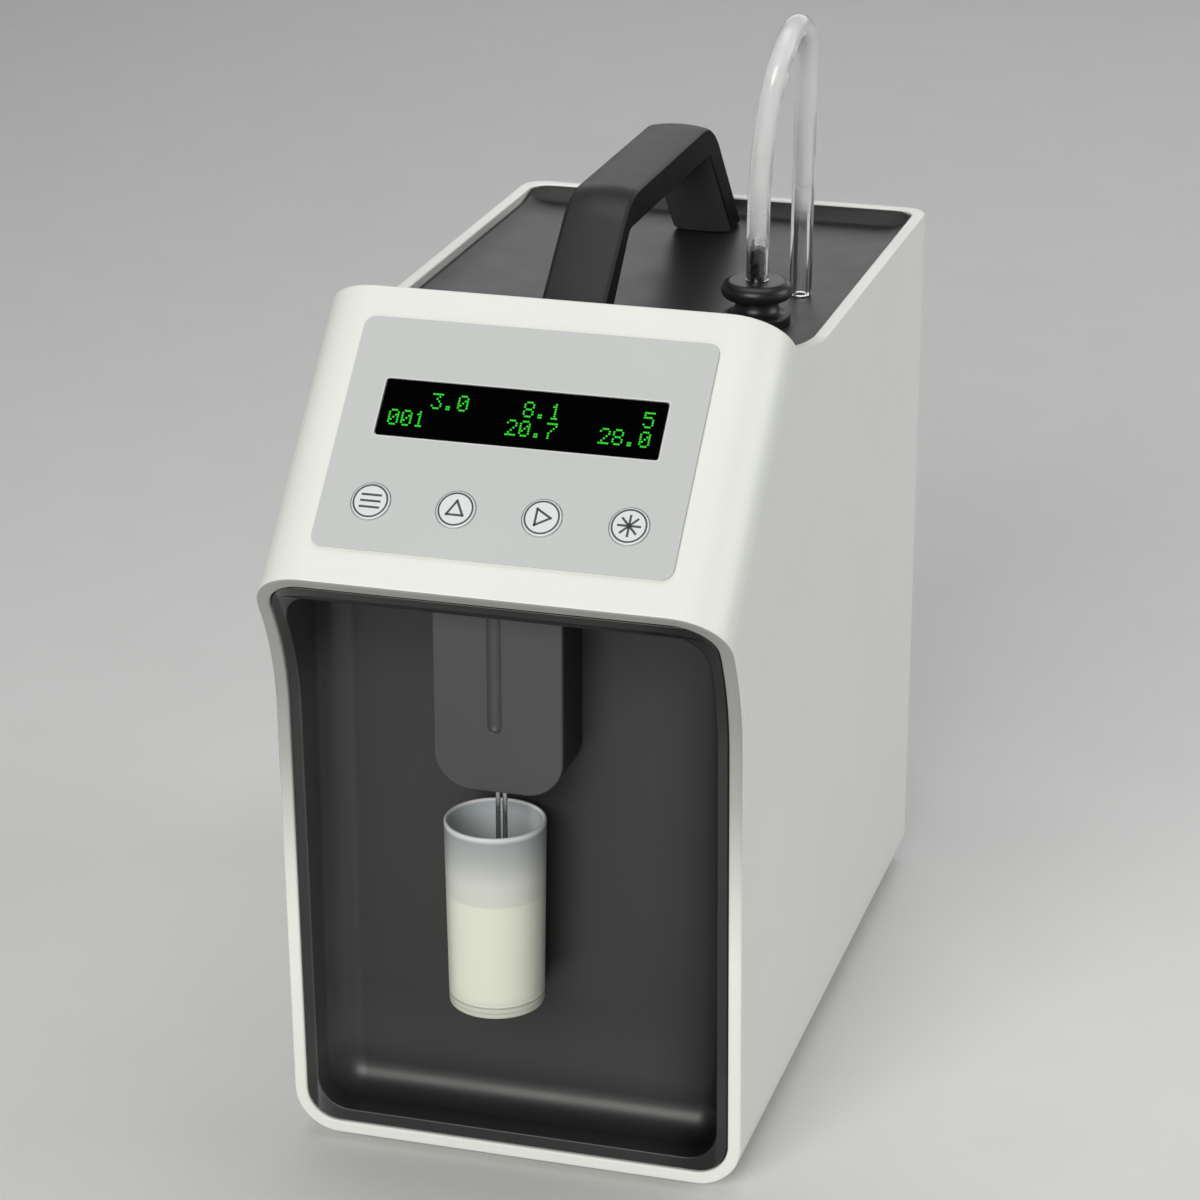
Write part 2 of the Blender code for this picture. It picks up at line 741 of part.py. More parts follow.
STOCK_FRONT = -NOSE_OVERHANG - CLEAR_OF_STOCK / 2.0


def above_shoulders():
    """All that lies behind the lip and above the shoulders and side walls."""
    drop = (PANEL_RADIUS + FIT) * PANEL_UP
    start = (LIP_Y + drop, LIP_Z - drop)
    end = (start[0] + SHOULDER_LENGTH, WALL_HEIGHT)
    control = (start[0] + SHOULDER_BEND, WALL_HEIGHT + SHOULDER_BEND_RISE)
    rise = STOCK_TOP + OVERRUN - LIP_Z
    points = [(LIP_Y - rise, LIP_Z + rise), (LIP_Y, LIP_Z)]
    points += bend(start, control, end)
    points += [
        (BODY_DEPTH + OVERRUN, WALL_HEIGHT),
        (BODY_DEPTH + OVERRUN, LIP_Z + rise),
    ]
    reach = HALF_WIDTH + OVERRUN
    return extruded("above_shoulders", points, -reach, reach, "side")


def rear_corners(name, inset):
    """The slivers outside the two rounded rear corners, moved in by an inset."""
    inner = HALF_WIDTH - REAR_RADIUS
    behind = BODY_DEPTH - REAR_RADIUS
    points = arc((inner, behind), REAR_RADIUS - inset, 0.0, 90.0)
    points += [
        (inner, BODY_DEPTH + OVERRUN * 2.0),
        (HALF_WIDTH + OVERRUN * 2.0, BODY_DEPTH + OVERRUN * 2.0),
        (HALF_WIDTH + OVERRUN * 2.0, behind),
    ]
    slivers = []
    for hand, side in (("left", -1), ("right", 1)):
        mirrored = [(side * x, y) for x, y in points]
        slivers.append(extruded(
            f"{name}_{hand}", mirrored, -OVERRUN * 2.0, STOCK_TOP + OVERRUN * 2.0, "plan",
        ))
    return slivers


def key_places():
    middle = (len(KEY_NAMES) - 1) / 2.0
    return [((index - middle) * KEY_PITCH, KEY_LINE) for index in range(len(KEY_NAMES))]


def foot_places():
    inset = BOTTOM_RADIUS + FOOT_INSET
    across = HALF_WIDTH - inset
    return {
        "foot_front_left": (-across, inset),
        "foot_front_right": (across, inset),
        "foot_rear_left": (-across, BODY_DEPTH - inset),
        "foot_rear_right": (across, BODY_DEPTH - inset),
    }


def housing_shell():
    shell = sleeve("housing_shell", 0.0, STOCK_FRONT, BODY_DEPTH, STOCK_TOP, CREAM)
    inside = sleeve(
        "housing_inside", WALL, STOCK_FRONT - OVERRUN, BODY_DEPTH - WALL, STOCK_TOP + OVERRUN
    )
    cut(inside, above_panel("under_panel", WALL, PANEL_LENGTH + OVERRUN / 4.0))
    cut(inside, *rear_corners("inside_corner", WALL))
    rebate_side = REAR_OPENING_WIDTH / 2.0 + REAR_FLANGE
    window = extruded("rear_window", box_outline(
        (-REAR_OPENING_WIDTH / 2.0, REAR_OPENING_BOTTOM),
        (REAR_OPENING_WIDTH / 2.0, REAR_OPENING_TOP), REAR_CORNER,
    ), BODY_DEPTH - WALL - OVERRUN, BODY_DEPTH + OVERRUN, "front")
    rebate = extruded("rear_rebate", box_outline(
        (-rebate_side, REAR_OPENING_BOTTOM - REAR_FLANGE),
        (rebate_side, REAR_OPENING_TOP + REAR_FLANGE), REAR_CORNER,
    ), BODY_DEPTH - REAR_REBATE, BODY_DEPTH + OVERRUN, "front")
    cut(shell, above_panel("panel_outside", 0.0, PANEL_LENGTH + OVERRUN))
    cut(shell, above_shoulders(), before_rim("rim_front", 0.0), *rear_corners("rear_corner", 0.0))
    cut(shell, inside, window, rebate)
    join(shell, *board_posts())
    ledge_x = WINDOW_WIDTH / 2.0 - WINDOW_LEDGE
    ledge_y = WINDOW_LENGTH / 2.0 - WINDOW_LEDGE
    cut(shell, block(
        "display_opening", (-ledge_x, WINDOW_MIDDLE - ledge_y, -WALL - OVERRUN),
        (ledge_x, WINDOW_MIDDLE + ledge_y, OVERRUN), None, PANEL,
    ))
    for index, (x, along) in enumerate(key_places()):
        cut(shell, rod(
            f"key_hole_{index + 1}", KEY_STEM_RADIUS + FIT, (x, along, -WALL - OVERRUN),
            (x, along, OVERRUN), None, PANEL, SMALL_TURN_STEPS,
        ))
    for name, (x, y) in foot_places().items():
        cut(shell, rod(
            name + "_hole", FOOT_STUD_RADIUS + FIT, (x, y, -OVERRUN), (x, y, WALL + FIT), None,
        ))
    for index, (x, z) in enumerate(rear_screw_places()):
        cut(shell, rod(
            f"rear_screw_hole_{index + 1}", SCREW_RADIUS + FIT,
            (x, BODY_DEPTH - WALL - FIT, z), (x, BODY_DEPTH + OVERRUN, z),
        ))
    return shell


# Sampling bay
def bay_room(name, inset):
    """The hollow of the sampling bay, moved in from its walls by an inset."""
    side = BAY_HALF_WIDTH - inset
    outline = rounded([
        (-side, BAY_FLOOR + inset, BAY_LOWER_RADIUS), (side, BAY_FLOOR + inset, BAY_LOWER_RADIUS),
        (side, BAY_CEILING - inset, BAY_UPPER_RADIUS), (-side, BAY_CEILING - inset, BAY_UPPER_RADIUS),
    ])
    back = BAY_DEPTH - inset
    room = extruded(name, outline, STOCK_FRONT - OVERRUN, back, "front")
    mesh = room.data
    form = bmesh.new()
    form.from_mesh(mesh)
    deepest = min(vertex.co.z for vertex in form.verts)
    edges = [
        edge for edge in form.edges
        if all(vertex.co.z < deepest + FIT for vertex in edge.verts)
    ]
    bmesh.ops.bevel(
        form, geom=edges, offset=BAY_BACK_RADIUS, offset_type="OFFSET", segments=ARC_STEPS,
        profile=0.5, affect="EDGES",
    )
    form.to_mesh(mesh)
    form.free()
    return room


SLOT_HALF_WIDTH = RUNNER_STEM_WIDTH / 2.0 + FIT
STAGE_BACK = BAY_DEPTH - FIT


def front_recess():
    recess = sleeve(
        "front_recess", WALL_INSIDE, STOCK_FRONT, BAY_DEPTH + BAY_WALL,
        BAY_CEILING + BAY_ROOF, BLACK,
    )
    cut(recess, above_panel("recess_under_panel", WALL_INSIDE, PANEL_LENGTH - OVERRUN))
    cut(recess, before_rim("recess_front", BAY_SETBACK))
    cut(recess, bay_room("bay_hollow", 0.0))
    cut(recess, block(
        "runner_slot",
        (CUP_X - SLOT_HALF_WIDTH, BAY_DEPTH - BAY_WALL,
         RUNNER_STEM_TOP - RUNNER_STEM_HEIGHT - STAGE_TRAVEL - FIT),
        (CUP_X + SLOT_HALF_WIDTH, BAY_DEPTH + BAY_WALL + OVERRUN, RUNNER_STEM_TOP + FIT),
    ))
    cut(recess, rod(
        "hose_guide", HOSE_GUIDE_RADIUS, (SAMPLER_X, BAY_DEPTH - BAY_WALL, HOSE_GUIDE_HEIGHT),
        (SAMPLER_X, BAY_DEPTH + BAY_WALL + OVERRUN, HOSE_GUIDE_HEIGHT),
    ))
    return recess


def sampler_cover():
    side = SAMPLER_WIDTH / 2.0
    top = BAY_CEILING + OVERRUN
    cover = extruded("sampler_cover", rounded([
        (SAMPLER_X - side, SAMPLER_BOTTOM, SAMPLER_RADIUS),
        (SAMPLER_X + side, SAMPLER_BOTTOM, SAMPLER_RADIUS),
        (SAMPLER_X + side, top, 0.0), (SAMPLER_X - side, top, 0.0),
    ]), SAMPLER_FRONT, BAY_DEPTH + OVERRUN, "front", DARK_GREY)
    profile = [(0.0, CLEAR_OF_STOCK), (SAMPLER_GROOVE_RADIUS, CLEAR_OF_STOCK)]
    profile += [(x, -y) for x, y in arc((0.0, 0.0), SAMPLER_GROOVE_RADIUS, 0.0, 90.0)]
    profile[-1] = (0.0, -SAMPLER_GROOVE_RADIUS)
    cut(cover, turned("sampler_groove", profile, (
        SAMPLER_X + SAMPLER_GROOVE_SHIFT,
        SAMPLER_FRONT + SAMPLER_GROOVE_DEPTH - SAMPLER_GROOVE_RADIUS,
        SAMPLER_GROOVE_END,
    )))
    inner = side - SAMPLER_WALL
    cut(cover, extruded("sampler_hollow", rounded([
        (SAMPLER_X - inner, SAMPLER_BOTTOM + SAMPLER_WALL, SAMPLER_RADIUS - SAMPLER_WALL),
        (SAMPLER_X + inner, SAMPLER_BOTTOM + SAMPLER_WALL, SAMPLER_RADIUS - SAMPLER_WALL),
        (SAMPLER_X + inner, BAY_CEILING - BAY_BACK_RADIUS, 0.0),
        (SAMPLER_X - inner, BAY_CEILING - BAY_BACK_RADIUS, 0.0),
    ]), SAMPLER_FRONT + SAMPLER_WALL, BAY_DEPTH + OVERRUN * 2.0, "front"))
    reach = PIPE_RADIUS + FIT
    across = PIPE_SPACING / 2.0 + reach
    cut(cover, extruded("pipe_slot", box_outline(
        (SAMPLER_X - across, PIPE_Y - reach), (SAMPLER_X + across, PIPE_Y + reach), PIPE_RADIUS, 4,
    ), SAMPLER_BOTTOM - OVERRUN, SAMPLER_BOTTOM + OVERRUN, "plan"))
    combine(cover, bay_room("bay_seat", FIT), "INTERSECT")
    return cover


def sampler_pipes():
    for name, side, tip in (("intake_pipe", -1, PIPE_TIP), ("rinse_pipe", 1, RINSE_PIPE_TIP)):
        x = SAMPLER_X + side * PIPE_SPACING / 2.0
        rod(name, PIPE_RADIUS, (x, PIPE_Y, tip), (x, PIPE_Y, PIPE_TOP), STEEL, steps=12)


# Cup, milk and the stage that slides down the back of the bay
def cup_radius(height):
    """Outside radius of the tapered cup at a height above its base."""
    return CUP_BASE_RADIUS + (CUP_RIM_RADIUS - CUP_BASE_RADIUS) * height / CUP_HEIGHT


def sample_cup():
    floor = CUP_FOOT + CUP_BOTTOM
    profile = [
        (CUP_RIM_RADIUS - CUP_WALL, CUP_HEIGHT - CUP_BEAD),
        (CUP_RIM_RADIUS - CUP_WALL / 2.0, CUP_HEIGHT),
        (CUP_RIM_RADIUS, CUP_HEIGHT - CUP_BEAD),
        (CUP_BASE_RADIUS, 0.0),
        (CUP_BASE_RADIUS - CUP_WALL, 0.0),
        (cup_radius(CUP_FOOT) - CUP_WALL, CUP_FOOT),
        (0.0, CUP_FOOT),
    ]
    inner = [(0.0, floor), (cup_radius(floor) - CUP_WALL, floor)]
    turned("sample_cup", inner + profile, (CUP_X, CUP_Y, CUP_BASE), FROSTED, steps=32)


def milk_sample():
    bottom = CUP_FOOT + CUP_BOTTOM + FIT
    level = MILK_LEVEL - CUP_BASE
    milk = turned("milk_sample", [
        (0.0, level), (cup_radius(level) - CUP_WALL - FIT, level),
        (cup_radius(bottom) - CUP_WALL - FIT, bottom), (0.0, bottom),
    ], (CUP_X, CUP_Y, CUP_BASE), MILK)
    well = PIPE_SPACING / 2.0 + PIPE_RADIUS + 2.0 * FIT
    cut(milk, rod(
        "pipe_well", well, (SAMPLER_X, PIPE_Y, PIPE_TIP - FIT), (SAMPLER_X, PIPE_Y, MILK_LEVEL + OVERRUN),
    ))
    return milk


def cup_stage():
    """A bent sheet: a rounded foot under the cup and a back plate behind it."""
    foot_top = CUP_BASE - FIT
    foot_bottom = foot_top - STAGE_FOOT_SHEET
    half = STAGE_WIDTH / 2.0
    stage = extruded("cup_stage", rounded([
        (CUP_X - half, CUP_Y - STAGE_REACH, half - FIT), (CUP_X + half, CUP_Y - STAGE_REACH, half - FIT),
        (CUP_X + half, STAGE_BACK, 0.0), (CUP_X - half, STAGE_BACK, 0.0),
    ]), foot_bottom, foot_top, "plan", BLACK)
    plate = extruded("stage_plate", rounded([
        (CUP_X - half, foot_bottom + FIT, 0.0), (CUP_X + half, foot_bottom + FIT, 0.0),
        (CUP_X + half, STAGE_TOP, STAGE_FOOT_SHEET), (CUP_X - half, STAGE_TOP, STAGE_FOOT_SHEET),
    ]), STAGE_BACK - STAGE_SHEET, STAGE_BACK, "front")
    join(stage, plate)
    return stage


def stage_runner():
    half = RUNNER_STEM_WIDTH / 2.0
    bottom = RUNNER_STEM_TOP - RUNNER_STEM_HEIGHT
    behind = BAY_DEPTH + BAY_WALL + FIT
    runner = block(
        "stage_runner", (CUP_X - half, STAGE_BACK + FIT, bottom),
        (CUP_X + half, behind + RUNNER_PLATE / 2.0, RUNNER_STEM_TOP), BLACK,
    )
    join(runner, block(
        "runner_plate", (CUP_X - RUNNER_WIDTH / 2.0, behind, bottom - RUNNER_MARGIN),
        (CUP_X + RUNNER_WIDTH / 2.0, behind + RUNNER_PLATE, RUNNER_STEM_TOP + RUNNER_MARGIN),
    ))
    return runner


# Top panel and handle
def top_panel():
    panel = sleeve(
        "top_panel", WALL_INSIDE, TOP_FRONT, BODY_DEPTH - WALL_INSIDE, STOCK_TOP,
        TOP_BLACK, TOP_UNDERSIDE,
    )
    cut(panel, above_panel("top_under_panel", WALL_INSIDE, PANEL_LENGTH + CLEAR_OF_STOCK / 2.0))
    cut(panel, *rear_corners("tray_corner", WALL_INSIDE))
    side = HALF_WIDTH - WALL_INSIDE - TOP_SIDE_EDGE
    dish = block(
        "top_dish", (-side, TOP_FRONT + TOP_EDGE, TOP_FLOOR),
        (side, BODY_DEPTH - WALL_INSIDE - TOP_SIDE_EDGE, STOCK_TOP + OVERRUN),
    )
    bevel(dish, TOP_DISH_RADIUS, 5)
    trim = block(
        "top_trim", (-HALF_WIDTH, TOP_FRONT + TOP_TRIM_START, TOP_RIM),
        (HALF_WIDTH, BODY_DEPTH + OVERRUN, STOCK_TOP + OVERRUN * 2.0),
    )
    cut(panel, dish, trim)
    cut(panel, rod(
        "fitting_hole", FITTING_STEM_RADIUS + FIT, (FITTING_X, FITTING_Y, TOP_UNDERSIDE - OVERRUN),
        (FITTING_X, FITTING_Y, TOP_FLOOR + OVERRUN), steps=TURN_STEPS,
    ))
    for index, y in enumerate(handle_screw_places()):
        cut(panel, rod(
            f"handle_hole_{index + 1}", HANDLE_SCREW_RADIUS + FIT, (0.0, y, TOP_UNDERSIDE - OVERRUN),
            (0.0, y, TOP_FLOOR + OVERRUN / 2.0),
        ))
    return panel


def handle_screw_places():
    front = HANDLE_FRONT_FOOT + HANDLE_FRONT_FOOT_LENGTH - HANDLE_SCREW_INSET
    rear = HANDLE_REAR_FOOT - HANDLE_REAR_FOOT_LENGTH + HANDLE_SCREW_INSET
    return (front, rear)


def handle():
    foot = TOP_FLOOR + FIT
    outline = rounded([
        (HANDLE_FRONT_FOOT, foot, 0.0),
        (HANDLE_FRONT_FOOT + HANDLE_FRONT_FOOT_LENGTH, foot, 0.0),
        (HANDLE_FRONT_INNER, HANDLE_UNDER, HANDLE_INNER_BEND),
        (HANDLE_REAR_INNER, HANDLE_UNDER, HANDLE_INNER_BEND),
        (HANDLE_REAR_FOOT - HANDLE_REAR_FOOT_LENGTH, foot, 0.0),
        (HANDLE_REAR_FOOT, foot, 0.0),
        (HANDLE_REAR_CROWN, HANDLE_TOP, HANDLE_REAR_BEND),
        (HANDLE_FRONT_CROWN, HANDLE_TOP, HANDLE_FRONT_BEND),
    ])
    grip = extruded("handle", outline, -HANDLE_WIDTH / 2.0, HANDLE_WIDTH / 2.0, "side", BLACK)
    bevel(grip, HANDLE_EDGE, 2, 60.0)
    for index, y in enumerate(handle_screw_places()):
        cut(grip, rod(
            f"handle_bore_{index + 1}", HANDLE_SCREW_RADIUS + FIT, (0.0, y, foot - OVERRUN / 4.0),
            (0.0, y, foot + HANDLE_SCREW_DEPTH + FIT),
        ))
    return grip


def handle_screws():
    """Two screws that hold the handle from below the top panel, one at each leg."""
    under = TOP_UNDERSIDE - FIT
    tip = TOP_FLOOR + FIT + HANDLE_SCREW_DEPTH
    for name, y in zip(("handle_screw_front", "handle_screw_rear"), handle_screw_places()):
        turned(name, [
            (0.0, tip), (HANDLE_SCREW_RADIUS, tip), (HANDLE_SCREW_RADIUS, under),
            (HANDLE_SCREW_HEAD, under), (HANDLE_SCREW_HEAD, under - HANDLE_SCREW_HEAD_HEIGHT),
            (0.0, under - HANDLE_SCREW_HEAD_HEIGHT),
        ], (0.0, y, 0.0), ZINC, steps=SMALL_TURN_STEPS)


# Hose fitting, its nut and the hose
def outlet_fitting():
    foot = TOP_FLOOR + FIT
    flange = foot + FITTING_FLANGE_HEIGHT
    neck = flange + FITTING_NECK_HEIGHT
    top = neck + FITTING_RING_HEIGHT
    ring = FITTING_RING_HEIGHT / 2.0
    tip = top + FITTING_NIPPLE_HEIGHT
    barb = top + FITTING_NIPPLE_HEIGHT * FITTING_BARB_SHARE
    profile = [
        (FITTING_BORE, tip), (FITTING_NIPPLE_RADIUS, tip), (FITTING_BARB_RADIUS, barb),
        (FITTING_NIPPLE_RADIUS, barb - FIT), (FITTING_NIPPLE_RADIUS, top),
    ]
    profile += arc((FITTING_RING_RADIUS - ring, neck + ring), ring, 90.0, -90.0, 8)
    profile += [(FITTING_NECK_RADIUS, neck)]
    profile += bend(
        (FITTING_NECK_RADIUS, neck - FIT), (FITTING_NECK_RADIUS, flange),
        (FITTING_FLANGE_RADIUS, flange), 4,
    )
    profile += [
        (FITTING_FLANGE_RADIUS, foot), (FITTING_STEM_RADIUS, foot),
        (FITTING_STEM_RADIUS, foot - FITTING_STEM_LENGTH), (FITTING_BORE, foot - FITTING_STEM_LENGTH),
    ]
    turned("outlet_fitting", profile, (FITTING_X, FITTING_Y, 0.0), BLACK, closed=True)
    return top


def fitting_nut():
    nut = rod(
        "fitting_nut", NUT_RADIUS, (FITTING_X, FITTING_Y, TOP_UNDERSIDE - FIT - NUT_HEIGHT),
        (FITTING_X, FITTING_Y, TOP_UNDERSIDE - FIT), ZINC, steps=6,
    )
    cut(nut, rod(
        "nut_bore", FITTING_STEM_RADIUS + FIT, (FITTING_X, FITTING_Y, TOP_UNDERSIDE - OVERRUN),
        (FITTING_X, FITTING_Y, TOP_UNDERSIDE + OVERRUN), steps=TURN_STEPS,
    ))
    return nut


def outlet_tube(fitting_top):
    """The clear hose, with the socket at its start that slips over the nipple."""
    start = Vector((FITTING_X, FITTING_Y, fitting_top))
    route = [start + Vector(offset) for offset in OUTLET_TUBE_OFFSETS]
    hose = as_mesh(tube(
        "outlet_tube", smooth_route(route, OUTLET_TUBE_STEPS), OUTLET_TUBE_RADIUS, CLEAR_HOSE,
        resolution=3,
    ), CLEAR_HOSE)
    cut(hose, rod(
        "tube_socket", OUTLET_TUBE_BORE, (FITTING_X, FITTING_Y, fitting_top - OVERRUN),
        (FITTING_X, FITTING_Y, fitting_top + FITTING_NIPPLE_HEIGHT + FIT),
    ))
    return hose


# Control panel
def membrane_panel():
    low = (-MEMBRANE_WIDTH / 2.0, MEMBRANE_START)
    high = (MEMBRANE_WIDTH / 2.0, MEMBRANE_START + MEMBRANE_LENGTH)
    sheet = extruded(
        "membrane_panel", box_outline(low, high, MEMBRANE_RADIUS), FIT, FIT + MEMBRANE_SHEET,
        "plan", MEMBRANE_GREY, PANEL,
    )
    side = WINDOW_WIDTH / 2.0 + FIT
    half = WINDOW_LENGTH / 2.0 + FIT
    cut(sheet, extruded("window_hole", box_outline(
        (-side, WINDOW_MIDDLE - half), (side, WINDOW_MIDDLE + half), WINDOW_RADIUS, 2,
    ), -OVERRUN, OVERRUN, "plan", None, PANEL))
    for index, (x, along) in enumerate(key_places()):
        cut(sheet, rod(
            f"membrane_hole_{index + 1}", KEY_RADIUS + FIT, (x, along, -OVERRUN), (x, along, OVERRUN),
            None, PANEL, TURN_STEPS,
        ))
    return sheet


def display_window():
    side = WINDOW_WIDTH / 2.0
    half = WINDOW_LENGTH / 2.0
    return extruded("display_window", box_outline(
        (-side, WINDOW_MIDDLE - half), (side, WINDOW_MIDDLE + half), WINDOW_RADIUS, 2,
    ), FIT, FIT + WINDOW_SHEET, "plan", DISPLAY_BLACK, PANEL)


def board_posts():
    """Posts moulded under the sloping panel, which carry the control board."""
    x = HEAD_BOARD_WIDTH / 2.0 - SPACER_INSET
    places = [
        (side * x, s) for side in (-1, 1)
        for s in (HEAD_BOARD_START + SPACER_INSET, HEAD_BOARD_END - SPACER_INSET)
    ]
    return [rod(
        f"board_post_{index + 1}", SPACER_RADIUS, (x, s, FIT - BOARD_DROP), (x, s, -WALL / 2.0),
        None, PANEL, 8,
    ) for index, (x, s) in enumerate(places)]


def display_module():
    """The display's glass and frame, held up to the window by the control board."""
    x = WINDOW_WIDTH / 2.0 - WINDOW_LEDGE - FIT
    s = WINDOW_LENGTH / 2.0 - WINDOW_LEDGE - FIT
    module = block(
        "display_module", (-x, WINDOW_MIDDLE - s, DISPLAY_SHOULDER - BOARD_DROP + FIT),
        (x, WINDOW_MIDDLE + s, -FIT), DISPLAY_BLACK, PANEL,
    )
    wide = WINDOW_WIDTH / 2.0 + WINDOW_LEDGE
    long = WINDOW_LENGTH / 2.0 + WINDOW_LEDGE * 2.0
    join(module, block(
        "display_frame", (-wide, WINDOW_MIDDLE - long, FIT - BOARD_DROP),
        (wide, WINDOW_MIDDLE + long, DISPLAY_SHOULDER * 2.0 - BOARD_DROP), None, PANEL,
    ))
    return module


def control_board():
    half = HEAD_BOARD_WIDTH / 2.0
    board = block(
        "control_board", (-half, HEAD_BOARD_START, -BOARD_DROP - BOARD),
        (half, HEAD_BOARD_END, -BOARD_DROP), BOARD_GREEN, PANEL,
    )
    side = SWITCH_SIDE / 2.0
    for index, (x, along) in enumerate(key_places()):
        join(board, block(
            f"key_switch_{index + 1}", (x - side, along - side, -BOARD_DROP - BOARD / 2.0),
            (x + side, along + side, -SWITCH_TOP), None, PANEL,
        ))
    return board


def keys():
    """Round key caps, each on a stem that reaches down to its switch."""
    under = FIT + KEY_TRAVEL - FIT / 3.0
    top = under + KEY_CAP
    for name, (x, along) in zip(KEY_NAMES, key_places()):
        turned(name, [
            (0.0, top + KEY_CROWN),
            (KEY_RADIUS * KEY_FLAT_SHARE, top + KEY_CROWN * KEY_CROWN_SHARE),
            (KEY_RADIUS - KEY_CROWN, top), (KEY_RADIUS, top - KEY_CROWN), (KEY_RADIUS, under),
            (KEY_STEM_RADIUS, under), (KEY_STEM_RADIUS, -KEY_STEM_REACH), (0.0, -KEY_STEM_REACH),
        ], (x, along, 0.0), KEY_WHITE, PANEL)


# Rear panel and what it carries
REBATE_HALF_WIDTH = REAR_OPENING_WIDTH / 2.0 + REAR_FLANGE
REBATE_BOTTOM = REAR_OPENING_BOTTOM - REAR_FLANGE
REBATE_TOP = REAR_OPENING_TOP + REAR_FLANGE


def rear_screw_places():
    x = REAR_OPENING_WIDTH / 2.0 + REAR_FLANGE / 2.0
    low = REAR_OPENING_BOTTOM - REAR_FLANGE / 2.0
    high = REAR_OPENING_TOP + REAR_FLANGE / 2.0
    return [(side * x, z) for side in (-1, 1) for z in (low, high)]


def rear_panel():
    sheet = extruded("rear_panel", box_outline(
        (FIT - REBATE_HALF_WIDTH, REBATE_BOTTOM + FIT),
        (REBATE_HALF_WIDTH - FIT, REBATE_TOP - FIT), REAR_CORNER,
    ), REAR_INSIDE, REAR_OUTSIDE, "front", GREY_PAINT)
    for index in range(VENT_COUNT):
        z = VENT_TOP - index * VENT_PITCH
        cut(sheet, extruded(f"vent_{index + 1}", box_outline(
            (-VENT_LENGTH / 2.0, z - VENT_WIDTH / 2.0), (VENT_LENGTH / 2.0, z + VENT_WIDTH / 2.0),
            VENT_WIDTH / 2.0 - FIT, 3,
        ), REAR_INSIDE - OVERRUN, REAR_OUTSIDE + OVERRUN, "front"))
    cut(sheet, rod(
        "inlet_hole", INLET_RADIUS + FIT, (INLET_X, REAR_INSIDE - OVERRUN, INLET_Z),
        (INLET_X, REAR_OUTSIDE + OVERRUN, INLET_Z), steps=TURN_STEPS,
    ))
    for name, x, z, width, height in (
        ("socket_hole", SOCKET_X, SOCKET_Z, SOCKET_NOSE_WIDTH, SOCKET_NOSE_HEIGHT),
        ("switch_hole", SWITCH_X, SWITCH_Z, switch_body_width(), switch_body_height()),
    ):
        reach_x = width / 2.0 + FIT
        reach_z = height / 2.0 + FIT
        cut(sheet, block(
            name, (x - reach_x, REAR_INSIDE - OVERRUN, z - reach_z),
            (x + reach_x, REAR_OUTSIDE + OVERRUN, z + reach_z),
        ))
    for index, (x, z) in enumerate(rear_screw_places()):
        cut(sheet, rod(
            f"sheet_hole_{index + 1}", SCREW_RADIUS + FIT, (x, REAR_INSIDE - OVERRUN, z),
            (x, REAR_OUTSIDE + OVERRUN, z),
        ))
    return sheet


def rear_screws():
    """Pan-head screws at the rear panel's corners."""
    head = REAR_OUTSIDE + FIT
    for index, (x, z) in enumerate(rear_screw_places()):
        turned(f"rear_screw_{index + 1}", [
            (0.0, SCREW_HEAD_HEIGHT), (SCREW_HEAD_RADIUS * SCREW_FLAT_SHARE, SCREW_HEAD_HEIGHT),
            (SCREW_HEAD_RADIUS, SCREW_HEAD_HEIGHT / 3.0), (SCREW_HEAD_RADIUS, 0.0),
            (SCREW_RADIUS, 0.0), (SCREW_RADIUS, -REAR_SHEET - SCREW_LENGTH),
            (0.0, -REAR_SHEET - SCREW_LENGTH),
        ], (x, head, z), ZINC, steps=12, rotation=BACKWARD)


def power_inlet():
    """A round low-voltage socket with its centre pin."""
    front = REAR_OUTSIDE + FIT
    inlet = turned("power_inlet", [
        (0.0, INLET_FLANGE_HEIGHT), (INLET_FLANGE - FIT, INLET_FLANGE_HEIGHT),
        (INLET_FLANGE, INLET_FLANGE_HEIGHT - FIT), (INLET_FLANGE, 0.0),
        (INLET_RADIUS, 0.0), (INLET_RADIUS, -INLET_DEPTH), (0.0, -INLET_DEPTH),
    ], (INLET_X, front, INLET_Z), BLACK, rotation=BACKWARD)
    mouth = INLET_FLANGE_HEIGHT + OVERRUN
    bore = turned("inlet_bore", [
        (INLET_PIN, mouth), (INLET_BORE, mouth), (INLET_BORE, -INLET_BORE_DEPTH),
        (INLET_PIN, -INLET_BORE_DEPTH),
    ], (INLET_X, front, INLET_Z), rotation=BACKWARD, closed=True)
    cut(inlet, bore)
    pin_face = front + INLET_FLANGE_HEIGHT - FIT
    cut(inlet, rod(
        "pin_face", INLET_PIN * 2.0, (INLET_X, pin_face, INLET_Z),
        (INLET_X, pin_face + OVERRUN, INLET_Z),
    ))
    return inlet


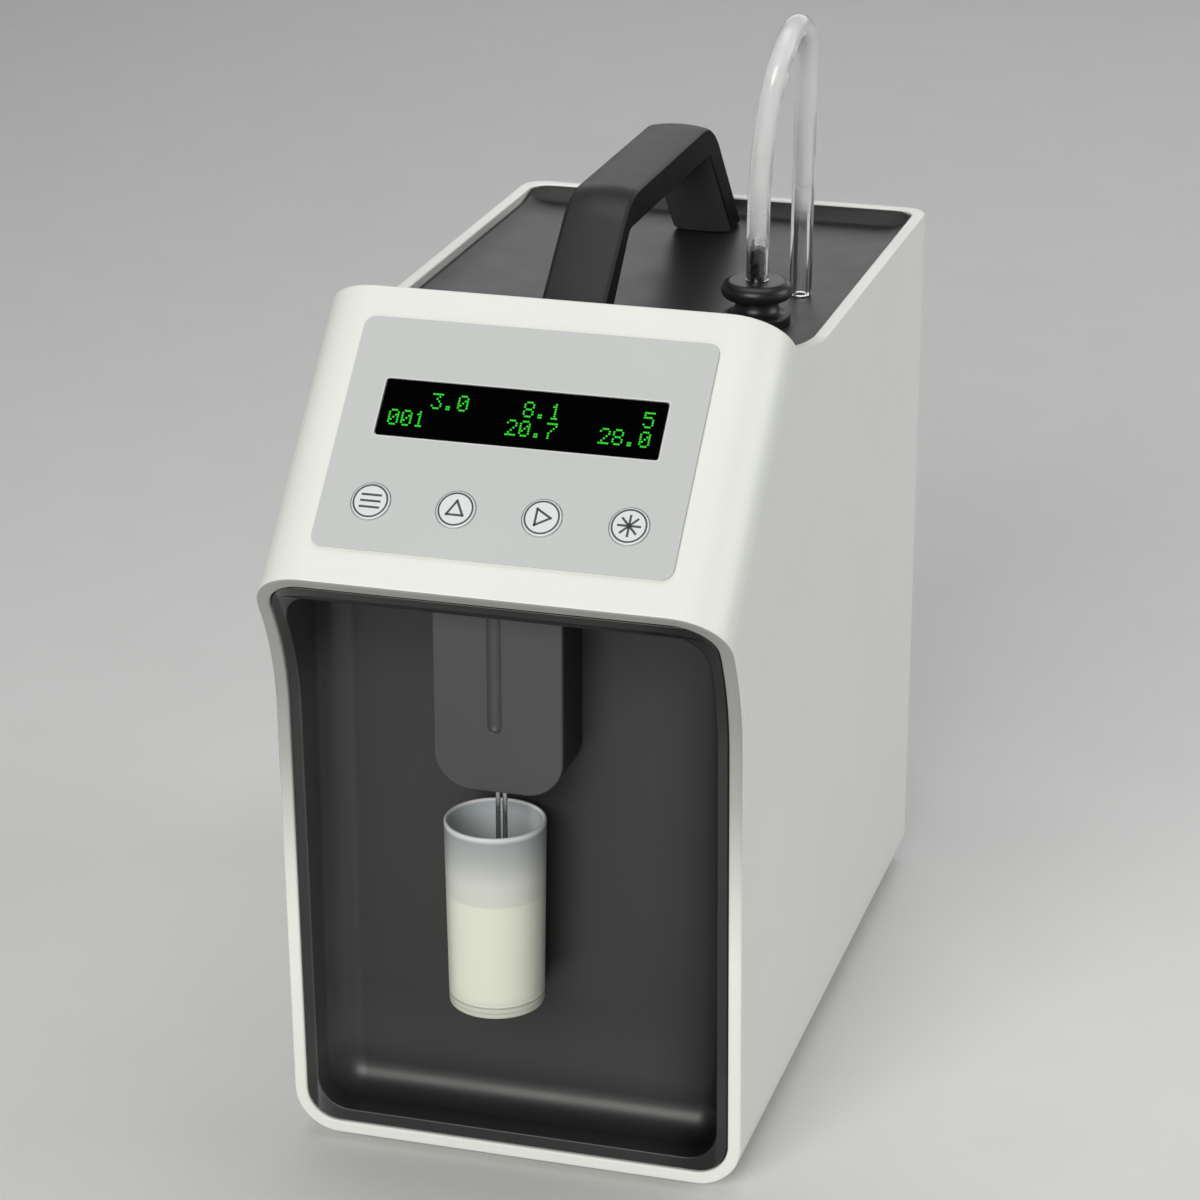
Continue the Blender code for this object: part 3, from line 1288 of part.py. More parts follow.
def data_socket():
    """A nine-way data socket: flange, tapered shroud and the body behind the panel."""
    front = REAR_OUTSIDE + FIT
    half = SOCKET_WIDTH / 2.0
    tall = SOCKET_HEIGHT / 2.0
    socket = extruded("data_socket", box_outline(
        (SOCKET_X - half, SOCKET_Z - tall), (SOCKET_X + half, SOCKET_Z + tall), SOCKET_FLANGE, 2,
    ), front, front + SOCKET_FLANGE, "front", STEEL)
    wide = SOCKET_NOSE_WIDTH / 2.0
    high = SOCKET_NOSE_HEIGHT / 2.0
    join(socket, block(
        "socket_body", (SOCKET_X - wide, REAR_INSIDE - SOCKET_BODY, SOCKET_Z - high),
        (SOCKET_X + wide, front + SOCKET_FLANGE / 2.0, SOCKET_Z + high),
    ))
    join(socket, extruded(
        "socket_nose", socket_outline(0.0), front + SOCKET_FLANGE / 2.0,
        front + SOCKET_NOSE_REACH, "front",
    ))
    cut(socket, extruded(
        "socket_mouth", socket_outline(SOCKET_WALL), front - SOCKET_FLANGE,
        front + SOCKET_NOSE_REACH + OVERRUN, "front",
    ))
    return socket


def socket_outline(inset):
    """The shroud's outline, wide above and narrower below."""
    wide = SOCKET_NOSE_WIDTH / 2.0 - inset - FIT
    narrow = wide - SOCKET_NOSE_TAPER
    tall = SOCKET_NOSE_HEIGHT / 2.0 - inset - FIT
    return rounded([
        (SOCKET_X - narrow, SOCKET_Z - tall, SOCKET_FLANGE),
        (SOCKET_X + narrow, SOCKET_Z - tall, SOCKET_FLANGE),
        (SOCKET_X + wide, SOCKET_Z + tall, SOCKET_FLANGE),
        (SOCKET_X - wide, SOCKET_Z + tall, SOCKET_FLANGE),
    ], 2)


def switch_body_width():
    return SWITCH_OPENING_WIDTH + 2.0 * SWITCH_BODY_WALL


def switch_body_height():
    return SWITCH_OPENING_HEIGHT + 2.0 * SWITCH_BODY_WALL


def switch_frame():
    """The rocker switch's frame and body, open towards the rear."""
    front = REAR_OUTSIDE + FIT
    half = SWITCH_FRAME_WIDTH / 2.0
    tall = SWITCH_FRAME_HEIGHT / 2.0
    sheet = SWITCH_FRAME_SHEET
    frame = extruded("switch_frame", box_outline(
        (SWITCH_X - half, SWITCH_Z - tall), (SWITCH_X + half, SWITCH_Z + tall), sheet / 2.0, 3,
    ), front, front + sheet, "front", BLACK)
    wide = switch_body_width() / 2.0
    high = switch_body_height() / 2.0
    join(frame, block(
        "switch_body", (SWITCH_X - wide, front - SWITCH_BODY_DEPTH, SWITCH_Z - high),
        (SWITCH_X + wide, front + sheet / 2.0, SWITCH_Z + high),
    ))
    cut(frame, block(
        "switch_opening",
        (SWITCH_X - SWITCH_OPENING_WIDTH / 2.0, front - SWITCH_BODY_DEPTH + SWITCH_BODY_WALL,
         SWITCH_Z - SWITCH_OPENING_HEIGHT / 2.0),
        (SWITCH_X + SWITCH_OPENING_WIDTH / 2.0, front + OVERRUN, SWITCH_Z + SWITCH_OPENING_HEIGHT / 2.0),
    ))
    return frame


def power_rocker():
    """The rocker, at rest tilted to off; its origin is on its pivot."""
    pivot = (SWITCH_X, REAR_OUTSIDE + FIT - ROCKER_DEPTH / 2.0, SWITCH_Z)
    outline = [
        (ROCKER_DEPTH, 0.0),
        (ROCKER_DEPTH + ROCKER_RISE, ROCKER_HALF_LENGTH),
        (0.0, ROCKER_HALF_LENGTH - FIT),
        (-ROCKER_DEPTH / 2.0, 0.0),
        (0.0, FIT - ROCKER_HALF_LENGTH),
        (ROCKER_DEPTH + ROCKER_RISE, -ROCKER_HALF_LENGTH),
    ]
    rocker = extruded(
        "power_rocker", outline, SWITCH_X - ROCKER_WIDTH / 2.0, SWITCH_X + ROCKER_WIDTH / 2.0,
        "side", RUBBER,
    )
    turn = datum("rocker_pivot", pivot, ROCKER_THROW, BODY)
    rocker.parent = turn
    rocker.location = (0.0, 0.0, 0.0)
    return rocker


# Feet
def feet():
    for name, (x, y) in foot_places().items():
        turned(name, [
            (0.0, FOOT_STUD_LENGTH), (FOOT_STUD_RADIUS, FOOT_STUD_LENGTH), (FOOT_STUD_RADIUS, -FIT),
            (FOOT_RADIUS, -FIT), (FOOT_RADIUS, FIT - FOOT_HEIGHT), (FOOT_RADIUS - FIT, -FOOT_HEIGHT),
            (0.0, -FOOT_HEIGHT),
        ], (x, y, 0.0), RUBBER)


# Chassis, boards, measuring cell and pump
CHASSIS_TOP = WALL_INSIDE + CHASSIS_SHEET
ON_CHASSIS = CHASSIS_TOP + FIT


def chassis_plate():
    """The sheet on the housing's floor, with the standoffs pressed into it."""
    plate = block(
        "chassis_plate", (-CHASSIS_HALF_WIDTH, CHASSIS_FRONT, WALL_INSIDE),
        (CHASSIS_HALF_WIDTH, CHASSIS_BACK, CHASSIS_TOP), ZINC,
    )
    x = MAIN_BOARD_WIDTH / 2.0 - SPACER_INSET
    ends = (MAIN_BOARD_FRONT + SPACER_INSET, MAIN_BOARD_FRONT + MAIN_BOARD_LENGTH - SPACER_INSET)
    places = [(MAIN_BOARD_X + side * x, y) for side in (-1, 1) for y in ends]
    for index, (x, y) in enumerate(places):
        join(plate, rod(
            f"standoff_{index + 1}", SPACER_RADIUS, (x, y, WALL_INSIDE + CHASSIS_SHEET / 2.0),
            (x, y, CHASSIS_TOP + MAIN_SPACER_HEIGHT), steps=8,
        ))
    return plate


def main_board():
    half = MAIN_BOARD_WIDTH / 2.0
    low = CHASSIS_TOP + MAIN_SPACER_HEIGHT + FIT
    high = low + BOARD
    board = block(
        "main_board", (MAIN_BOARD_X - half, MAIN_BOARD_FRONT, low),
        (MAIN_BOARD_X + half, MAIN_BOARD_FRONT + MAIN_BOARD_LENGTH, high), BOARD_GREEN,
    )
    for index, (across, along, width, length, height) in enumerate(CHIP_TABLE_SHARES):
        x = MAIN_BOARD_X - half + across * MAIN_BOARD_WIDTH
        y = MAIN_BOARD_FRONT + along * MAIN_BOARD_LENGTH
        reach_x = width * MAIN_BOARD_WIDTH / 2.0
        reach_y = length * MAIN_BOARD_LENGTH / 2.0
        join(board, block(
            f"chip_{index + 1}", (x - reach_x, y - reach_y, low + BOARD / 2.0),
            (x + reach_x, y + reach_y, high + height * MAIN_SPACER_HEIGHT),
        ))
    return board


CELL_PORT_TOP = CELL_Z + CELL_RADIUS + CELL_PORT_HEIGHT


def cell_ports():
    reach = CELL_HALF_LENGTH - CELL_PORT_HEIGHT
    return {
        "intake_port": CELL_Y - reach,
        "rinse_port": CELL_Y - reach + CELL_PORT_HEIGHT * 2.0,
        "pump_port": CELL_Y + reach,
    }


def measuring_cell():
    """A steel cell between two transducer caps, with its ports on top."""
    cell = turned("measuring_cell", [
        (0.0, CELL_HALF_LENGTH), (CELL_RADIUS, CELL_HALF_LENGTH),
        (CELL_RADIUS, -CELL_HALF_LENGTH), (0.0, -CELL_HALF_LENGTH),
    ], (CELL_X, CELL_Y, CELL_Z), STEEL, rotation=BACKWARD)
    for name, place_along in cell_ports().items():
        join(cell, rod(
            name, CELL_PORT_RADIUS, (CELL_X, place_along, CELL_Z), (CELL_X, place_along, CELL_PORT_TOP),
            steps=12,
        ))
    for name, side in (("front_transducer", -1), ("rear_transducer", 1)):
        near = CELL_Y + side * (CELL_HALF_LENGTH + FIT)
        rod(
            name, CELL_CAP_RADIUS, (CELL_X, near, CELL_Z), (CELL_X, near + side * CELL_CAP_LENGTH, CELL_Z),
            BLACK, steps=TURN_STEPS,
        )
    cradle = block(
        "cell_cradle", (CELL_X - CELL_CRADLE_WIDTH / 2.0, CELL_Y - CELL_HALF_LENGTH / 2.0, ON_CHASSIS),
        (CELL_X + CELL_CRADLE_WIDTH / 2.0, CELL_Y + CELL_HALF_LENGTH / 2.0, CELL_Z), ALUMINIUM,
    )
    cut(cradle, rod(
        "cradle_bore", CELL_RADIUS + FIT, (CELL_X, CELL_Y - CELL_HALF_LENGTH, CELL_Z),
        (CELL_X, CELL_Y + CELL_HALF_LENGTH, CELL_Z), steps=TURN_STEPS,
    ))
    leg = CELL_CRADLE_WIDTH / 2.0 - CELL_CRADLE_SHEET
    cut(cradle, block(
        "cradle_arch", (CELL_X - leg, CELL_Y - CELL_HALF_LENGTH, ON_CHASSIS - OVERRUN),
        (CELL_X + leg, CELL_Y + CELL_HALF_LENGTH, CELL_Z - CELL_RADIUS - CELL_CRADLE_SHEET),
    ))
    return cell


def peristaltic_pump():
    """Housing with its round track, rotor, rollers on their circle, and the motor behind."""
    half = PUMP_SIZE / 2.0
    front = PUMP_Y - PUMP_DEPTH
    housing = extruded("pump_housing", box_outline(
        (PUMP_X - half, PUMP_Z - half), (PUMP_X + half, PUMP_Z + half), PUMP_CORNER,
    ), front, PUMP_Y, "front", DARK_GREY)
    cut(housing, rod(
        "pump_track", PUMP_TRACK_RADIUS, (PUMP_X, front - OVERRUN, PUMP_Z),
        (PUMP_X, PUMP_Y - PUMP_BACK, PUMP_Z), steps=32,
    ))
    cut(housing, rod(
        "shaft_hole", MOTOR_SHAFT_RADIUS + FIT, (PUMP_X, front, PUMP_Z),
        (PUMP_X, PUMP_Y + OVERRUN, PUMP_Z), steps=TURN_STEPS,
    ))
    slot = PUMP_TRACK_RADIUS - PUMP_LINE_RADIUS + LINE_RADIUS
    for side in (-1, 1):
        x = PUMP_X + side * PUMP_LINE_RADIUS
        name = "line_slot_right" if side > 0 else "line_slot_left"
        cut(housing, block(
            name, (x - slot / 2.0, front - OVERRUN, PUMP_Z),
            (x + slot / 2.0, PUMP_Y - PUMP_BACK, PUMP_Z + half + OVERRUN),
        ))
    pump_rotor(front)
    motor = rod(
        "pump_motor", MOTOR_RADIUS, (PUMP_X, PUMP_Y + FIT, PUMP_Z),
        (PUMP_X, PUMP_Y + FIT + MOTOR_LENGTH, PUMP_Z), ZINC, steps=TURN_STEPS,
    )
    cut(motor, rod(
        "motor_bore", MOTOR_SHAFT_RADIUS + RUNNING_FIT, (PUMP_X, PUMP_Y - OVERRUN, PUMP_Z),
        (PUMP_X, PUMP_Y + MOTOR_SHAFT_REACH + FIT, PUMP_Z), steps=TURN_STEPS,
    ))
    bracket_top = PUMP_Z - half - FIT
    bracket = block(
        "pump_bracket", (PUMP_X - half, PUMP_Y - PUMP_DEPTH, ON_CHASSIS),
        (PUMP_X + half, PUMP_Y, bracket_top), ZINC,
    )
    cut(bracket, block(
        "bracket_arch", (PUMP_X - half + BRACKET_SHEET, PUMP_Y - PUMP_DEPTH - OVERRUN, ON_CHASSIS - OVERRUN),
        (PUMP_X + half - BRACKET_SHEET, PUMP_Y + OVERRUN, bracket_top - BRACKET_SHEET),
    ))
    return housing


def pump_rotor(front):
    """Two plates, a hub, the rollers' pins and the shaft; the rollers turn on the pins."""
    rotor_front = front + FIT
    rotor_back = PUMP_Y - PUMP_BACK - FIT
    rotor = rod(
        "pump_rotor", ROTOR_RADIUS, (PUMP_X, rotor_back - ROTOR_SHEET, PUMP_Z),
        (PUMP_X, rotor_back, PUMP_Z), ALUMINIUM, steps=TURN_STEPS,
    )
    plate = rod(
        "rotor_plate", ROTOR_RADIUS, (PUMP_X, rotor_front, PUMP_Z),
        (PUMP_X, rotor_front + ROTOR_SHEET, PUMP_Z), steps=TURN_STEPS,
    )
    within = ROTOR_SHEET / 2.0
    hub = rod(
        "rotor_hub", ROTOR_HUB_RADIUS, (PUMP_X, rotor_front + within, PUMP_Z),
        (PUMP_X, rotor_back - within, PUMP_Z),
    )
    shaft = rod(
        "rotor_shaft", MOTOR_SHAFT_RADIUS, (PUMP_X, rotor_back - within, PUMP_Z),
        (PUMP_X, PUMP_Y + MOTOR_SHAFT_REACH, PUMP_Z), steps=TURN_STEPS,
    )
    join(rotor, hub, plate, shaft)
    circle = PUMP_LINE_RADIUS - LINE_RADIUS - FIT - ROLLER_RADIUS
    for index in range(ROLLER_COUNT):
        angle = math.radians(90.0) + 2.0 * math.pi * index / ROLLER_COUNT
        x = PUMP_X + circle * math.cos(angle)
        z = PUMP_Z + circle * math.sin(angle)
        join(rotor, rod(
            f"roller_pin_{index + 1}", ROLLER_PIN_RADIUS, (x, rotor_front + within, z),
            (x, rotor_back - within, z), steps=SMALL_TURN_STEPS,
        ))
        roller = rod(
            f"pump_roller_{index + 1}", ROLLER_RADIUS, (x, rotor_front + ROTOR_SHEET + FIT, z),
            (x, rotor_back - ROTOR_SHEET - FIT, z), KEY_WHITE, steps=SMALL_TURN_STEPS,
        )
        cut(roller, rod(
            f"roller_bore_{index + 1}", ROLLER_PIN_RADIUS + RUNNING_FIT, (x, front - OVERRUN, z),
            (x, PUMP_Y + OVERRUN, z), steps=SMALL_TURN_STEPS,
        ))


def pump_line():
    """The squeezed hose, round the lower half of the track and out at the top."""
    y = PUMP_Y - PUMP_DEPTH / 2.0
    points = [(PUMP_X - PUMP_LINE_RADIUS, y, PUMP_LINE_TOP)]
    for step in range(PUMP_LINE_STEPS + 1):
        angle = math.radians(180.0 + 180.0 * step / PUMP_LINE_STEPS)
        points.append((
            PUMP_X + PUMP_LINE_RADIUS * math.cos(angle), y, PUMP_Z + PUMP_LINE_RADIUS * math.sin(angle),
        ))
    points.append((PUMP_X + PUMP_LINE_RADIUS, y, PUMP_LINE_TOP))
    return tube("pump_line", points, LINE_RADIUS, CLEAR_HOSE)


def inner_hoses():
    """From the pipes to the cell, from the cell to the pump and on to the fitting."""
    ports = cell_ports()
    behind = BAY_DEPTH + BAY_WALL
    for name, side, port in (("sample_hose", -1, "intake_port"), ("rinse_hose", 1, "rinse_port")):
        x = SAMPLER_X + side * PIPE_SPACING / 2.0
        y = ports[port]
        rise = HOSE_GUIDE_HEIGHT - PIPE_TOP
        across = CELL_X - x
        along = y - behind
        middle = (HOSE_GUIDE_HEIGHT + CELL_PORT_TOP) / 2.0
        route = [
            (x, PIPE_Y, PIPE_TOP + FIT),
            (x, PIPE_Y + HOSE_RADIUS, PIPE_TOP + rise * HOSE_RISE_SHARE),
            (x, (PIPE_Y + BAY_DEPTH) / 2.0, HOSE_GUIDE_HEIGHT),
            (x, behind, HOSE_GUIDE_HEIGHT),
            (x + across * HOSE_NEAR_X_SHARE, behind + along * HOSE_NEAR_Y_SHARE, HOSE_GUIDE_HEIGHT - rise),
            (CELL_X - across * HOSE_FAR_X_SHARE, y - along * HOSE_FAR_Y_SHARE, middle),
            (CELL_X, y, CELL_PORT_TOP + CELL_HOSE_RISE),
            (CELL_X, y, CELL_PORT_TOP + FIT),
        ]
        tube(name, smooth_route(route, 3), HOSE_RADIUS, CLEAR_HOSE, resolution=1)
    line_y = PUMP_Y - PUMP_DEPTH / 2.0
    left = PUMP_X - PUMP_LINE_RADIUS
    right = PUMP_X + PUMP_LINE_RADIUS
    arch = PUMP_LINE_TOP + PUMP_LINE_RADIUS
    tube("cell_hose", smooth_route([
        (CELL_X, ports["pump_port"], CELL_PORT_TOP + FIT),
        (CELL_X, ports["pump_port"], arch - LINE_DROP),
        (CELL_X, ports["pump_port"] + PUMP_LINE_RADIUS, arch + PUMP_LINE_RADIUS),
        (left, line_y - PUMP_LINE_RADIUS, arch + PUMP_LINE_RADIUS),
        (left, line_y, arch - LINE_DROP),
        (left, line_y, PUMP_LINE_TOP + FIT),
    ], 4), LINE_RADIUS, CLEAR_HOSE)
    stem = TOP_FLOOR + FIT - FITTING_STEM_LENGTH
    tube("outlet_hose", smooth_route([
        (right, line_y, PUMP_LINE_TOP + FIT),
        (right, line_y, arch),
        (right, (line_y + FITTING_Y) / 2.0, (arch + stem) / 2.0),
        (FITTING_X, FITTING_Y, stem - PUMP_LINE_RADIUS),
        (FITTING_X, FITTING_Y, stem - FIT),
    ], 4), LINE_RADIUS, CLEAR_HOSE)


housing_shell()
front_recess()
sampler_cover()
sampler_pipes()
sample_cup()
milk_sample()
cup_stage()
stage_runner()
top_panel()
handle()
handle_screws()
FITTING_TOP = outlet_fitting()
fitting_nut()
outlet_tube(FITTING_TOP)
membrane_panel()
display_window()
display_module()
control_board()
keys()
rear_panel()
rear_screws()
power_inlet()
data_socket()
switch_frame()
power_rocker()
feet()
chassis_plate()
main_board()
measuring_cell()
peristaltic_pump()
pump_line()
inner_hoses()
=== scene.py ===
"""Milk analyzer: the dressed model over its CAD frame, in metres, +Z up."""
import json
from math import cos, dist, pi, radians, sin, tan

import bmesh
import bpy
from mathutils import Matrix, Vector

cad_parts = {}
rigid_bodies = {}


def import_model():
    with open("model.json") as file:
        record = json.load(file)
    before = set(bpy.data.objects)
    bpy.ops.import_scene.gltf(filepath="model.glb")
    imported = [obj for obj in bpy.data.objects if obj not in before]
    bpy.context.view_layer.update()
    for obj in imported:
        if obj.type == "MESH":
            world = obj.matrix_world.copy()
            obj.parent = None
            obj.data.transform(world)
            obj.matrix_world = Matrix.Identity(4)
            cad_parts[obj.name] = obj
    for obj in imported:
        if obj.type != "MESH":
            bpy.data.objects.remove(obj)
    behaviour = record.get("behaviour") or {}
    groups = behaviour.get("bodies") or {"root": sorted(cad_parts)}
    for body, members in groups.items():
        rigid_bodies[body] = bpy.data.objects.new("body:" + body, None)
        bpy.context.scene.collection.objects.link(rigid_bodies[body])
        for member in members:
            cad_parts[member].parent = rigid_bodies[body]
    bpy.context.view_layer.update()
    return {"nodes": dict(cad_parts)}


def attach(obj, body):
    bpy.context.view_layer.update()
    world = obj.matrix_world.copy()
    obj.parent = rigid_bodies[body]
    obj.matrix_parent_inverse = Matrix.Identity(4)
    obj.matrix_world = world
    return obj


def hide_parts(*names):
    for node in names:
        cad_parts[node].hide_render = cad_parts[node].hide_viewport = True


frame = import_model()
scene = bpy.context.scene

# Sizes, as in the CAD source
BODY_WIDTH = 0.14
BODY_DEPTH = 0.245
WALL_HEIGHT = 0.237
WALL = 0.004
BOTTOM_RADIUS = 0.014
REAR_RADIUS = 0.008
INNER_RADIUS = 0.0065
FOOT_HEIGHT = 0.002
NOSE_OVERHANG = 0.027
NOSE_HEIGHT = 0.19
RIM_LEAN = 0.0051
RIM_STRAIGHT_HEIGHT = 0.141
RIM_BEND_HEIGHT = 0.166
PANEL_TILT = radians(45)
PANEL_LENGTH = 0.0955
PANEL_RADIUS = 0.017
SHOULDER_LENGTH = 0.0395
SHOULDER_BEND = 0.0235
SHOULDER_BEND_RISE = 0.0015
FIT = 0.0003
OVERRUN = 0.01
CLEAR_OF_STOCK = 0.075
BAY_HALF_WIDTH = 0.0624
BAY_FLOOR = 0.0085
BAY_CEILING = 0.183
BAY_DEPTH = 0.017
BAY_WALL = 0.0025
BAY_ROOF = 0.0035
BAY_SETBACK = 0.0004
BAY_LOWER_RADIUS = 0.01
BAY_UPPER_RADIUS = 0.012
BAY_BACK_RADIUS = 0.009
SAMPLER_X = -0.003
SAMPLER_HALF_WIDTH = 0.0195
SAMPLER_FRONT = -0.003
SAMPLER_BOTTOM = 0.121
SAMPLER_RADIUS = 0.0115
SAMPLER_WALL = 0.002
GROOVE_RADIUS = 0.0026
GROOVE_DEPTH = 0.0012
GROOVE_END = 0.1416
GROOVE_SHIFT = -0.001
PIPE_RADIUS = 0.00075
PIPE_SPACING = 0.0021
PIPE_TOP = 0.158
HOSE_GUIDE_RADIUS = 0.003
HOSE_GUIDE_HEIGHT = 0.165
CUP_X = -0.005
CUP_BASE = 0.0531
CUP_HEIGHT = 0.0585
CUP_RIM_RADIUS = 0.015
CUP_BASE_RADIUS = 0.0141
CUP_WALL = 0.001
CUP_FOOT = 0.003
CUP_FLOOR = 0.0042
MILK_LEVEL = 0.0894
SLOT_HALF_WIDTH = 0.0028
SLOT_BOTTOM = 0.0637
SLOT_TOP = 0.1003
STAGE_HALF_WIDTH = 0.009
STAGE_REACH = 0.0075
STAGE_TOP = 0.104
STAGE_SHEET = 0.0012
STAGE_FOOT_SHEET = 0.0025
TOP_FLOOR = 0.232
TOP_SHEET = 0.003
HANDLE_HALF_WIDTH = 0.01
HANDLE_TOP = 0.276
HANDLE_UNDER = 0.2645
HANDLE_BORE = 0.002
HANDLE_SCREWS = (0.053, 0.2205)
FITTING = (0.0425, 0.117)
REBATE_HALF_WIDTH = 0.057
REBATE_BOTTOM = 0.015
REBATE_TOP = 0.221
REAR_FLANGE = 0.007
REAR_REBATE = 0.002
REAR_SHEET = 0.0015
REAR_CORNER = 0.004
STUD_HOLE = 0.0023
SCREW_HOLE = 0.0018
INLET_X = -0.028
SOCKET_X = 0.03
SOCKET_Z = 0.045
SOCKET_NOSE_REACH = 0.005
SWITCH_Z = 0.075
REAR_INSIDE = BODY_DEPTH - REAR_REBATE + FIT
REAR_FACE = REAR_INSIDE + REAR_SHEET
RIM_Y = (NOSE_OVERHANG - REAR_FACE - FIT - SOCKET_NOSE_REACH) / 2
HALF = BODY_WIDTH / 2
STOCK_FRONT = -NOSE_OVERHANG - CLEAR_OF_STOCK / 2
STOCK_TOP = NOSE_HEIGHT + PANEL_LENGTH + OVERRUN
LIP_Y = PANEL_LENGTH * cos(PANEL_TILT) - NOSE_OVERHANG
LIP_Z = PANEL_LENGTH * sin(PANEL_TILT) + NOSE_HEIGHT
WALL_INSIDE = WALL + FIT

BODY = Matrix.Translation((0, RIM_Y, FOOT_HEIGHT))
PANEL = BODY @ Matrix.Translation((0, -NOSE_OVERHANG, NOSE_HEIGHT)) @ Matrix.Rotation(PANEL_TILT, 4, "X")
REARWARD = Matrix.Rotation(radians(-90.0), 4, "X")


def new_object(name, data):
    obj = bpy.data.objects.new(name, data)
    scene.collection.objects.link(obj)
    return obj


# Camera
camera = bpy.data.cameras.new("camera")
camera.lens = 110.0
camera.sensor_width = 36.0
camera.clip_start = 0.05
camera.clip_end = 30.0
scene.camera = new_object("camera", camera)
scene.camera.location = (0.29495, -1.03779, 0.5544)
scene.camera.rotation_euler = (radians(90.0 - 20.97), 0, radians(16.15))


# Materials
def put(node, **values):
    """Sets sockets of a node, named with _ for a space."""
    for socket, value in values.items():
        node.inputs[socket.replace("_", " ")].default_value = value


def add_ramp(nodes, stops):
    """A ramp through stops (share of the way, value)."""
    ramp = nodes.new("ShaderNodeValToRGB")
    while len(ramp.color_ramp.elements) < len(stops):
        ramp.color_ramp.elements.new(0.5)
    for element, (position, value) in zip(ramp.color_ramp.elements, stops):
        element.position = position
        element.color = (*(value if isinstance(value, tuple) else (value,) * 3), 1.0)
    return ramp


def surface(name, colour, roughness, grain=0.0, grain_size=0.0004, tint=0.03, mottle=0.03, **sockets):
    """A shader with cloudy colour and gloss, and a fine moulded or brushed grain."""
    mat = bpy.data.materials.new(name)
    mat.use_nodes = True
    nodes = mat.node_tree.nodes
    links = mat.node_tree.links
    shader = nodes["Principled BSDF"]
    place = nodes.new("ShaderNodeTexCoord")

    def noise(size, detail, stretch=None):
        made = nodes.new("ShaderNodeTexNoise")
        put(made, Scale=1.0 / size, Detail=detail)
        source = place.outputs["Object"]
        if stretch:
            mapping = nodes.new("ShaderNodeMapping")
            put(mapping, Scale=stretch)
            links.new(source, mapping.inputs["Vector"])
            source = mapping.outputs["Vector"]
        links.new(source, made.inputs["Vector"])
        return made.outputs["Fac"]

    dark = tuple(c * (1.0 - tint) for c in colour)
    light = tuple(min(1.0, c * (1.0 + tint)) for c in colour)
    ramp = add_ramp(nodes, ((0.32, dark), (0.68, light)))
    links.new(noise(0.045, 3.0), ramp.inputs["Fac"])
    links.new(ramp.outputs["Color"], shader.inputs["Base Color"])
    gloss = nodes.new("ShaderNodeMapRange")
    put(gloss, To_Min=max(0, roughness - mottle), To_Max=min(1.0, roughness + mottle))
    links.new(noise(0.012, 4.0), gloss.inputs["Value"])
    links.new(gloss.outputs["Result"], shader.inputs["Roughness"])
    if grain:
        bump = nodes.new("ShaderNodeBump")
        put(bump, Strength=grain, Distance=0.00005)
        links.new(noise(grain_size, 2.0, sockets.pop("stretch", None)), bump.inputs["Height"])
        links.new(bump.outputs["Normal"], shader.inputs["Normal"])
    put(shader, **sockets)
    return mat


CREAM_COLOUR = (0.79, 0.8, 0.755)
MILKY = (0.85, 0.865, 0.745)
FROSTED = (0.9, 0.93, 0.93)
CREAM = surface("cream_abs", CREAM_COLOUR, 0.38, 0.1, 0.0005, 0.012, 0.04)
# A copy of the cream for the rim's front faces, which carries painted shade on their upper part
RIM_SHADED = surface("cream_rim_painted_shade", CREAM_COLOUR, 0.42, 0.1, 0.0005, 0.012, 0.04)
# A copy of the cream for the walls' top edges, which carries painted light
CREAM_EDGE_LIT = surface("cream_edge_painted_light", CREAM_COLOUR, 0.38, 0.1, 0.0005, 0.012, 0.04)
LINING = surface("black_lining", (0.023, 0.023, 0.0232), 0.4, 0.15, 0.0005, 0.06, 0.05)
COVER = surface("grey_cover", (0.0485, 0.049, 0.049), 0.5, 0.18, 0.0005, 0.04, 0.04)
TRAY = surface("tray_plastic", (0.024, 0.024, 0.024), 0.4, 0.12, 0.0006, 0.05, 0.05)
# A lighter copy of the tray's plastic, painted light on the tray's rear sweep
TRAY_EDGE_LIT = surface(
    "tray_edge_painted_light", (0.046, 0.046, 0.046), 0.62, 0.12, 0.0006, 0.05, 0.05, Specular_IOR_Level=0.3,
)
GRIP = surface(
    "handle_plastic", (0.016, 0.016, 0.0165), 0.44, 0.2, 0.0004, 0.06, 0.05, Specular_IOR_Level=0.4,
)
CONNECTOR = surface("connector_plastic", (0.012, 0.012, 0.0125), 0.42, 0.2, 0.0004, 0.06, 0.05)
# A lighter copy of the handle's plastic, painted light on the faces that look down
GRIP_INSIDE_LIT = surface(
    "handle_inside_painted_light", (0.075, 0.075, 0.076), 0.5, 0.2, 0.0004, 0.06, 0.05, Specular_IOR_Level=0.3,
)
# A darker copy of the handle's plastic, painted shade on the handle's sides
HANDLE_SIDE_SHADE = surface("handle_side_painted_shade", (0.004, 0.004, 0.004), 0.62, 0.25, 0.0004, 0.06, 0.05, Specular_IOR_Level=0.1)
FITTING_BLACK = surface("fitting_plastic", (0.013, 0.013, 0.014), 0.36, 0.1, 0.0004, 0.06, 0.05)
MEMBRANE = surface("membrane_print", (0.53, 0.548, 0.534), 0.45, 0.12, 0.00025, 0.012, 0.04)
WINDOW_LINE = surface("window_line", (0.68, 0.7, 0.69), 0.42, 0.06, 0.0003, 0.01, 0.04)
PRINT_DARK = surface("dark_print", (0.066, 0.071, 0.074), 0.45, 0.06, 0.0003, 0.03, 0.04)
KEY_FACE = surface("key_face", (0.69, 0.73, 0.73), 0.4, 0.08, 0.0003, 0.01, 0.04)
GLASS_BLACK = surface(
    "display_filter", (0.0006, 0.0007, 0.0006), 0.1, 0.02, 0.0008, 0.05, 0.03, Specular_IOR_Level=0.02,
)
